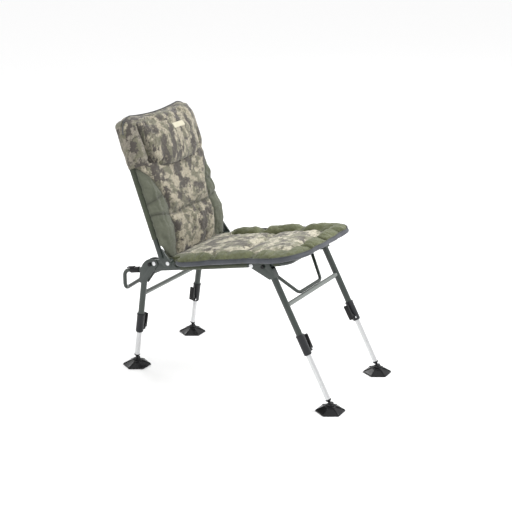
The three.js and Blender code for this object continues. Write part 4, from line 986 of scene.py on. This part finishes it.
def pillow_half_width(height):
    share = np.clip((height - PILLOW_FOOT) / (PILLOW_TOP - PILLOW_FOOT), 0, 1)
    return PILLOW_FOOT_HALF_WIDTH + (PILLOW_TOP_HALF_WIDTH - PILLOW_FOOT_HALF_WIDTH) * share


def back_marks(points):
    x, y, z = local(points, BACK).T
    edge = panel_half_width(z) - np.abs(x)
    panel = np.where(z > HOOD_FOOT, 1.0, edge)
    lumbar = np.abs(z - LUMBAR_SEAM)
    slant = 0.22 * np.maximum(np.abs(x) - PANEL_WAIST_HALF_WIDTH, 0)
    creases = np.minimum(np.abs(z - LUMBAR_SEAM - slant), np.abs(z - UPPER_TUCK + slant))
    seam = np.where(panel > 0, np.minimum(np.abs(edge), lumbar), np.minimum(-panel, creases))
    # Above the hood's foot the seam distance is taken from the pillow's outline: the pad dips there, and the dark
    # tone it gets is painted shade along the pillow's sides.
    beside_pillow = np.abs(np.abs(x - PILLOW_SHIFT) - pillow_half_width(z) - PILLOW_SEAM_OUT)
    seam = np.where(z > HOOD_FOOT, beside_pillow, seam)
    return panel, seam, y


def back_cushion():
    piece = remeshed("back_cushion", PAD_VOXEL)
    points = points_of(piece)
    panel, seam, y = back_marks(points)
    base = y > BACK_FRONT_FACE - GAP - UNDERSIDE
    stuffed(piece, np.maximum(near(seam, SEAM_HOLD), base), BACK_SWELL, PAD_PRESSURE, 0.04)
    subdivided(piece, 1)
    points = points_of(piece)
    panel, seam, y = back_marks(points)
    dip = BACK_SEAM_DIP * np.exp(-(seam / SEAM_WIDTH) ** 2) * (y < 0)
    rise = plumped(seam, panel < 0, PANEL_RISE, BACK_BOLSTER_RISE, BACK_RISE_REACH) * (y < 0)
    points = points + normals_of(piece) * (rise - dip)[:, None]
    height = local(points, BACK)[:, 2]
    drop = FOOT_TUCK * smoothstep(BACK_FOOT + TUCK_HEIGHT - height, 0, TUCK_HEIGHT)
    set_points(piece, points - drop[:, None] * np.array(BACK.to_3x3() @ Vector((0, 0, 1))))
    gathered(piece, seam, BACK_PUCKER, PUCKER_REACH, BACK_PUCKER_PITCH)
    panel = np.where(y > BACK_PRINT_REAR, -1.0, panel)
    store(piece, "panel", panel)
    store(piece, "seam", seam)
    smooth(piece, 180)
    settle(piece, "back_pad", None, BACK_CLOTH, "back_cushion")


def head_pillow():
    piece = remeshed("head_pillow", PILLOW_VOXEL)
    points = points_of(piece)
    y = local(points, BACK).T[1]
    stuffed(piece, near(y - y.max(), PILLOW_HELD_WIDTH) * 0.2, PILLOW_SWELL, 4.0, 0.05)
    subdivided(piece, 1)
    points = points_of(piece)
    x, y, z = local(points, BACK).T
    folds = np.array([noise.noise(Vector((a * 34, b * 30, c * 7))) for a, b, c in zip(x, y, z)])
    height = PILLOW_TOP - PILLOW_FOOT
    built = PILLOW_CAD_FOOT + (PILLOW_CAD_TOP - PILLOW_CAD_FOOT) * (z - PILLOW_FOOT) / height
    points[:, 0] = x * pillow_half_width(z) / built + PILLOW_SHIFT
    set_points(piece, points + normals_of(piece) * (PILLOW_PUCKER * folds)[:, None])
    points = points_of(piece)
    x, y, z = local(points, BACK).T
    # The pillow's seam attribute is its distance in from its sides and foot: painted shade that darkens the cloth
    # within about 17 mm of that outline.
    inside = np.minimum(pillow_half_width(z) - np.abs(x - PILLOW_SHIFT), z - PILLOW_FOOT)
    store(piece, "panel", np.ones(len(points)))
    store(piece, "seam", np.clip(inside * 0.7, 0, 1))
    smooth(piece, 180)
    settle(piece, "pillow_pad", None, PILLOW_CLOTH, "head_pillow")


def back_hood():
    piece = copied("back_hood")
    all_print(piece)
    smooth(piece, 40)
    settle(piece, "hood_cloth_painted_shade", None, HOOD_CLOTH_PAINTED_SHADE, "back_hood")


def sling(name, new_name):
    piece = copied(name)
    smooth(piece, 40)
    settle(piece, new_name, None, SLING_CLOTH, name)


def grid_of(rows):
    """A grid primitive whose points are set out along rows of points."""
    rows = np.asarray(rows)
    count, across = rows.shape[:2]
    deselect()
    bpy.ops.mesh.primitive_grid_add(x_subdivisions=count - 1, y_subdivisions=across - 1, size=1)
    piece = bpy.context.object
    set_points(piece, rows.transpose(1, 0, 2).reshape(-1, 3))
    return piece


def strip(name, rows, thickness, place, material, node, rounds=1):
    """A band of cloth: a grid given a thickness and rounded."""
    piece = grid_of(rows)
    finish_with(piece, "SOLIDIFY", thickness=thickness, offset=0)
    subdivided(piece, rounds)
    edit_all()
    bpy.ops.mesh.normals_make_consistent(inside=False)
    bpy.ops.object.mode_set(mode="OBJECT")
    smooth(piece, 60)
    settle(piece, name, place, material, node, added=True)
    all_print(piece)
    return piece


CORD_SIDES = 10


def hood_line():
    """The tube's line from the hood's foot, up, over the top and down, with its outward directions."""
    side = BACK_TUBE_HALF_WIDTH
    turn = side - BACK_BEND
    shoulder = BACK_TUBE_TOP - BACK_BEND
    line = [(-side, height) for height in np.linspace(HOOD_FOOT, shoulder, 16)[:-1]]
    for angle in np.linspace(math.pi, math.pi / 2, 10)[:-1]:
        line.append((-turn + BACK_BEND * math.cos(angle), shoulder + BACK_BEND * math.sin(angle)))
    for x in np.linspace(-turn, 0, 14)[:-1]:
        line.append((x, BACK_TUBE_TOP - BACK_TUBE_DIP * (1 - (x / turn) ** 2)))
    line.append((0, BACK_TUBE_TOP - BACK_TUBE_DIP))
    line += [(-x, height) for x, height in line[-2::-1]]
    line = np.array(line)
    step = np.gradient(line, axis=0)
    outward = np.stack([-step[:, 1], step[:, 0]], axis=1)
    return line, outward / np.linalg.norm(outward, axis=1, keepdims=True)


# Across the roll, in millimetres: outwards from the tube and backwards from the pad's face
HOOD_SECTION = [(-46, -12), (-40, -27), (-25, -34), (-7, -27), (9, -9),
                (17, 10), (14, 27), (2, 34), (-14, 35)]
HOOD_CREASE = 1.6
HOOD_END_SHARE = 0.82
HOOD_END_STEPS = 3
HOOD_THICKNESS = 2.4 * MM
HOOD_PIPING = 4 * MM
HOOD_PIPING_OUT = 15.5 * MM
HOOD_PIPING_BEHIND = 2 * MM


def hood_roll():
    """Padded roll of the hood's cloth from the front of the pad, round the tube to the back."""
    line, outward = hood_line()
    rows = []
    for index, (point, out) in enumerate(zip(line, outward)):
        from_end = min(index, len(line) - 1 - index)
        ends = min(from_end / HOOD_END_STEPS, 1)
        grow = HOOD_END_SHARE + (1 - HOOD_END_SHARE) * ends
        row = []
        for reach, depth in HOOD_SECTION:
            crease = HOOD_CREASE * noise.noise(Vector((index * 0.35, reach * 0.05, depth * 0.05)))
            distance = (reach * grow + crease) * MM
            behind = (BACK_TUBE_SETBACK / MM + (depth - BACK_TUBE_SETBACK / MM) * grow + crease) * MM
            row.append((point[0] + out[0] * distance, behind, point[1] + out[1] * distance))
        rows.append(row)
    roll = strip("hood_roll", rows, HOOD_THICKNESS, BACK, HOOD_CLOTH_PAINTED_SHADE, "back_hood", 2)
    path = [(p[0] + o[0] * HOOD_PIPING_OUT, HOOD_PIPING_BEHIND, p[1] + o[1] * HOOD_PIPING_OUT)
            for p, o in zip(line, outward) if p[1] > BACK_TUBE_TOP - BACK_BEND]
    cord_along("hood_piping", path, HOOD_PIPING, BACK, PIPING, "back_hood")


def cord_along(name, path, width, place, material, node):
    """Round piping: a grid wrapped round a line of points, closed along its side and at both ends."""
    path = np.array(path)
    step = np.gradient(path, axis=0)
    step /= np.linalg.norm(step, axis=1, keepdims=True)
    rings = []
    for point, ahead in zip(path, step):
        side = np.cross(ahead, (0, 1, 0.01))
        side /= np.linalg.norm(side)
        up = np.cross(side, ahead)
        rings.append([point + (side * math.cos(turn) + up * math.sin(turn)) * width / 2
                      for turn in np.linspace(0, math.tau, CORD_SIDES + 1)])
    piece = grid_of(rings)
    edit_all()
    bpy.ops.mesh.remove_doubles(threshold=1e-6)
    bpy.ops.mesh.fill_holes(sides=CORD_SIDES)
    bpy.ops.mesh.normals_make_consistent(inside=False)
    bpy.ops.object.mode_set(mode="OBJECT")
    smooth(piece, 60)
    settle(piece, name, place, material, node, added=True)


STITCH_LENGTH = 5 * MM
STITCH_PITCH = 8 * MM
STITCH_WIDTH = 0.9 * MM


def stitches(name, start, end, place, node):
    """A straight row of thread stitches that stand on a cloth."""
    start, end = Vector(start), Vector(end)
    count = int((end - start).length / STITCH_PITCH)
    deselect()
    bpy.ops.mesh.primitive_cube_add(size=1)
    row = bpy.context.object
    ahead = (end - start).normalized()
    row.scale = (STITCH_WIDTH, STITCH_WIDTH, STITCH_LENGTH)
    row.rotation_mode = "QUATERNION"
    row.rotation_quaternion = ahead.to_track_quat("Z", "Y")
    row.location = start + ahead * STITCH_PITCH / 2
    apply_place()
    finish_with(row, "BEVEL", width=0.3 * MM, segments=2)
    finish_with(row, "ARRAY", count=count, use_relative_offset=False, use_constant_offset=True,
                constant_offset_displace=ahead * STITCH_PITCH)
    smooth(row, 60)
    settle(row, name, place, THREAD, node, added=True)


HEM_ROWS = (16 * MM, 20 * MM)
BACK_SLING_REAR = BACK_FRONT_FACE + GAP + 1.2 * MM
BACK_HEM_FOOT = 96 * MM
BACK_HEM_TOP = HOOD_FOOT - 4 * MM


def sling_stitching():
    """Two rows of stitches down each hem of the back sling."""
    behind = BACK_SLING_REAR + STITCH_WIDTH * 0.3
    for name, side in SIDES.items():
        for inset in HEM_ROWS:
            x = side * (BACK_TUBE_HALF_WIDTH - inset)
            stitches(f"back_hem_{name}_{int(inset / MM)}", (x, behind, BACK_HEM_FOOT),
                     (x, behind, BACK_HEM_TOP), BACK, "back_sling")


PIN_HEAD_RADIUS = 3.3 * MM
PIN_HEAD_THICKNESS = 1.5 * MM
PIN_HEAD_REACH = 12.2 * MM
PIN_HEAD_EASE = 0.25 * MM
SOCKET_RADIUS = 1.7 * MM
SOCKET_DEPTH = 0.9 * MM


def lever_pins():
    """Socket heads at both ends of each lever's pin, on the clamp's ears."""
    for joint in frame["joints"]:
        if "lever_flip" not in joint["name"]:
            continue
        where, _, _, side = joint["name"].split("_")
        pivot, axis = Vector(joint["pos_m"]), Vector(joint["axis"]).normalized()
        for end, way in (("front", -1), ("rear", 1)):
            deselect()
            bpy.ops.mesh.primitive_cylinder_add(vertices=30, radius=PIN_HEAD_RADIUS, depth=PIN_HEAD_THICKNESS)
            head = bpy.context.object
            bpy.ops.object.mode_set(mode="EDIT")
            bpy.ops.mesh.select_all(action="DESELECT")
            bpy.ops.object.mode_set(mode="OBJECT")
            for face in head.data.polygons:
                face.select = face.normal.z > 0.9
            bpy.ops.object.mode_set(mode="EDIT")
            bpy.ops.mesh.select_mode(type="FACE")
            bpy.ops.mesh.inset(thickness=PIN_HEAD_RADIUS - SOCKET_RADIUS)
            bpy.ops.mesh.extrude_region_move(TRANSFORM_OT_translate={"value": (0, 0, -SOCKET_DEPTH)})
            bpy.ops.object.mode_set(mode="OBJECT")
            head.rotation_mode = "QUATERNION"
            head.rotation_quaternion = (axis * way).to_track_quat("Z", "Y")
            head.location = pivot + axis * way * PIN_HEAD_REACH
            apply_place()
            eased(head, PIN_HEAD_EASE, 40)
            smooth(head, 40)
            clamp = f"{where}_clamp_{side}"
            settle(head, f"{clamp}_pin_{end}", None, ZINC, clamp, added=True)


def surface_of(piece, place):
    mesh = bmesh.new()
    mesh.from_mesh(piece.data)
    mesh.transform(place.inverted())
    tree = BVHTree.FromBMesh(mesh)
    mesh.free()
    return tree


BAND_LOW = -12 * MM
BAND_HIGH = 5 * MM
BAND_STANDOFF = 1.6 * MM
BAND_STEPS = 150
BAND_ROWS = 5
BAND_TURNS = (131, 409)
BAND_SPREAD = (-2, -1, 0, 1, 2)
BAND_SMOOTHINGS = 3
BAND_THICKNESS = 1.8 * MM
BAND_PIPING = 3.4 * MM
OUTSIDE_SEAT = 500 * MM


def binding_band():
    """Tape sewn round the seat pad's lower edge, from one rear corner round the front to the other."""
    surface = surface_of(bpy.data.objects["seat_pad"], SEAT)
    middle = (SEAT_REAR + SEAT_FRONT) / 2
    heights = np.linspace(BAND_LOW, BAND_HIGH, BAND_ROWS)
    turns = np.radians(np.linspace(*BAND_TURNS, BAND_STEPS))
    radii = np.empty((BAND_STEPS, BAND_ROWS))
    for step, turn in enumerate(turns):
        ahead = Vector((math.cos(turn), math.sin(turn), 0))
        for row, height in enumerate(heights):
            start = Vector((0, middle, height)) + ahead * OUTSIDE_SEAT
            hit = surface.ray_cast(start, -ahead)[0]
            radii[step, row] = (hit - Vector((0, middle, height))).length
    # The widest of each point and its neighbours keeps the pad from poking through
    radii = np.stack([np.roll(radii, shift, axis=0) for shift in BAND_SPREAD]).max(axis=0) + BAND_STANDOFF
    for _ in range(BAND_SMOOTHINGS):
        radii[1:-1] = (radii[:-2] + radii[1:-1] * 2 + radii[2:]) / 4
    rows = np.stack([radii * np.cos(turns)[:, None], middle + radii * np.sin(turns)[:, None],
                     np.broadcast_to(heights, radii.shape)], axis=2)
    strip("seat_binding", rows, BAND_THICKNESS, SEAT, BINDING, "seat_cushion")
    path = rows[:, -1] + (0, 0, 1.2 * MM)
    cord_along("seat_piping", path, BAND_PIPING, SEAT, PIPING, "seat_cushion")


LABEL_LEFT = -16 * MM
LABEL_WIDTH = 66 * MM
LABEL_LOW = 434 * MM
LABEL_HEIGHT = 19 * MM
LABEL_THICKNESS = 0.9 * MM
LABEL_STANDOFF = 0.6 * MM


def blank_label():
    """Plain cloth label sewn flat on the head pillow."""
    surface = surface_of(bpy.data.objects["pillow_pad"], BACK)
    rows = []
    for across in np.linspace(0, LABEL_WIDTH, 15):
        row = []
        for up in np.linspace(0, LABEL_HEIGHT, 6):
            start = Vector((LABEL_LEFT + across, -0.3, LABEL_LOW + up))
            row.append(surface.ray_cast(start, Vector((0, 1, 0)))[0] + Vector((0, -LABEL_STANDOFF, 0)))
        rows.append(row)
    strip("pillow_label", rows, LABEL_THICKNESS, BACK, LABEL, "head_pillow")


LOBE_HALF_WIDTH = 164 * MM
LOBE_FRONT = -118 * MM
LOBE_REAR = -42 * MM
LOBE_BASE = -12 * MM
LOBE_TOP = 16 * MM
LOBE_FALL = 6 * MM
LOBE_RIPPLE = 2.5 * MM
LOBE_BORDER = 26 * MM
LOBE_HEM = 9 * MM


def rear_lobe():
    """Slack lobe of the seat pad under the back pad's foot."""
    deselect()
    bpy.ops.mesh.primitive_cube_add(size=1)
    piece = bpy.context.object
    edit_all()
    bpy.ops.mesh.subdivide(number_cuts=11)
    bpy.ops.object.mode_set(mode="OBJECT")
    points = points_of(piece) + 0.5
    x = (points[:, 0] * 2 - 1) * LOBE_HALF_WIDTH
    y = LOBE_FRONT + (LOBE_REAR - LOBE_FRONT) * points[:, 1]
    top = LOBE_TOP - LOBE_FALL * points[:, 1] + LOBE_RIPPLE * np.sin(points[:, 0] * math.pi * 5) ** 2
    z = LOBE_BASE + (top - LOBE_BASE) * points[:, 2]
    set_points(piece, np.stack([x, y, z], axis=1))
    subdivided(piece, 2)
    smooth(piece, 180)
    settle(piece, "seat_rear_lobe", SEAT, SEAT_CLOTH, "seat_cushion", added=True)
    points = local(points_of(piece), SEAT)
    inside = np.minimum(LOBE_HALF_WIDTH - LOBE_BORDER - np.abs(points[:, 0]),
                        LOBE_REAR - LOBE_HEM - points[:, 1])
    store(piece, "panel", inside)
    store(piece, "seam", np.ones(len(points)))
    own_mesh(piece)


seat_cushion()
back_cushion()
head_pillow()
back_hood()
hood_roll()
binding_band()
blank_label()
rear_lobe()
lever_pins()
sling_stitching()
sling("seat_sling", "seat_sling_cloth")
sling("back_sling", "back_sling_cloth")
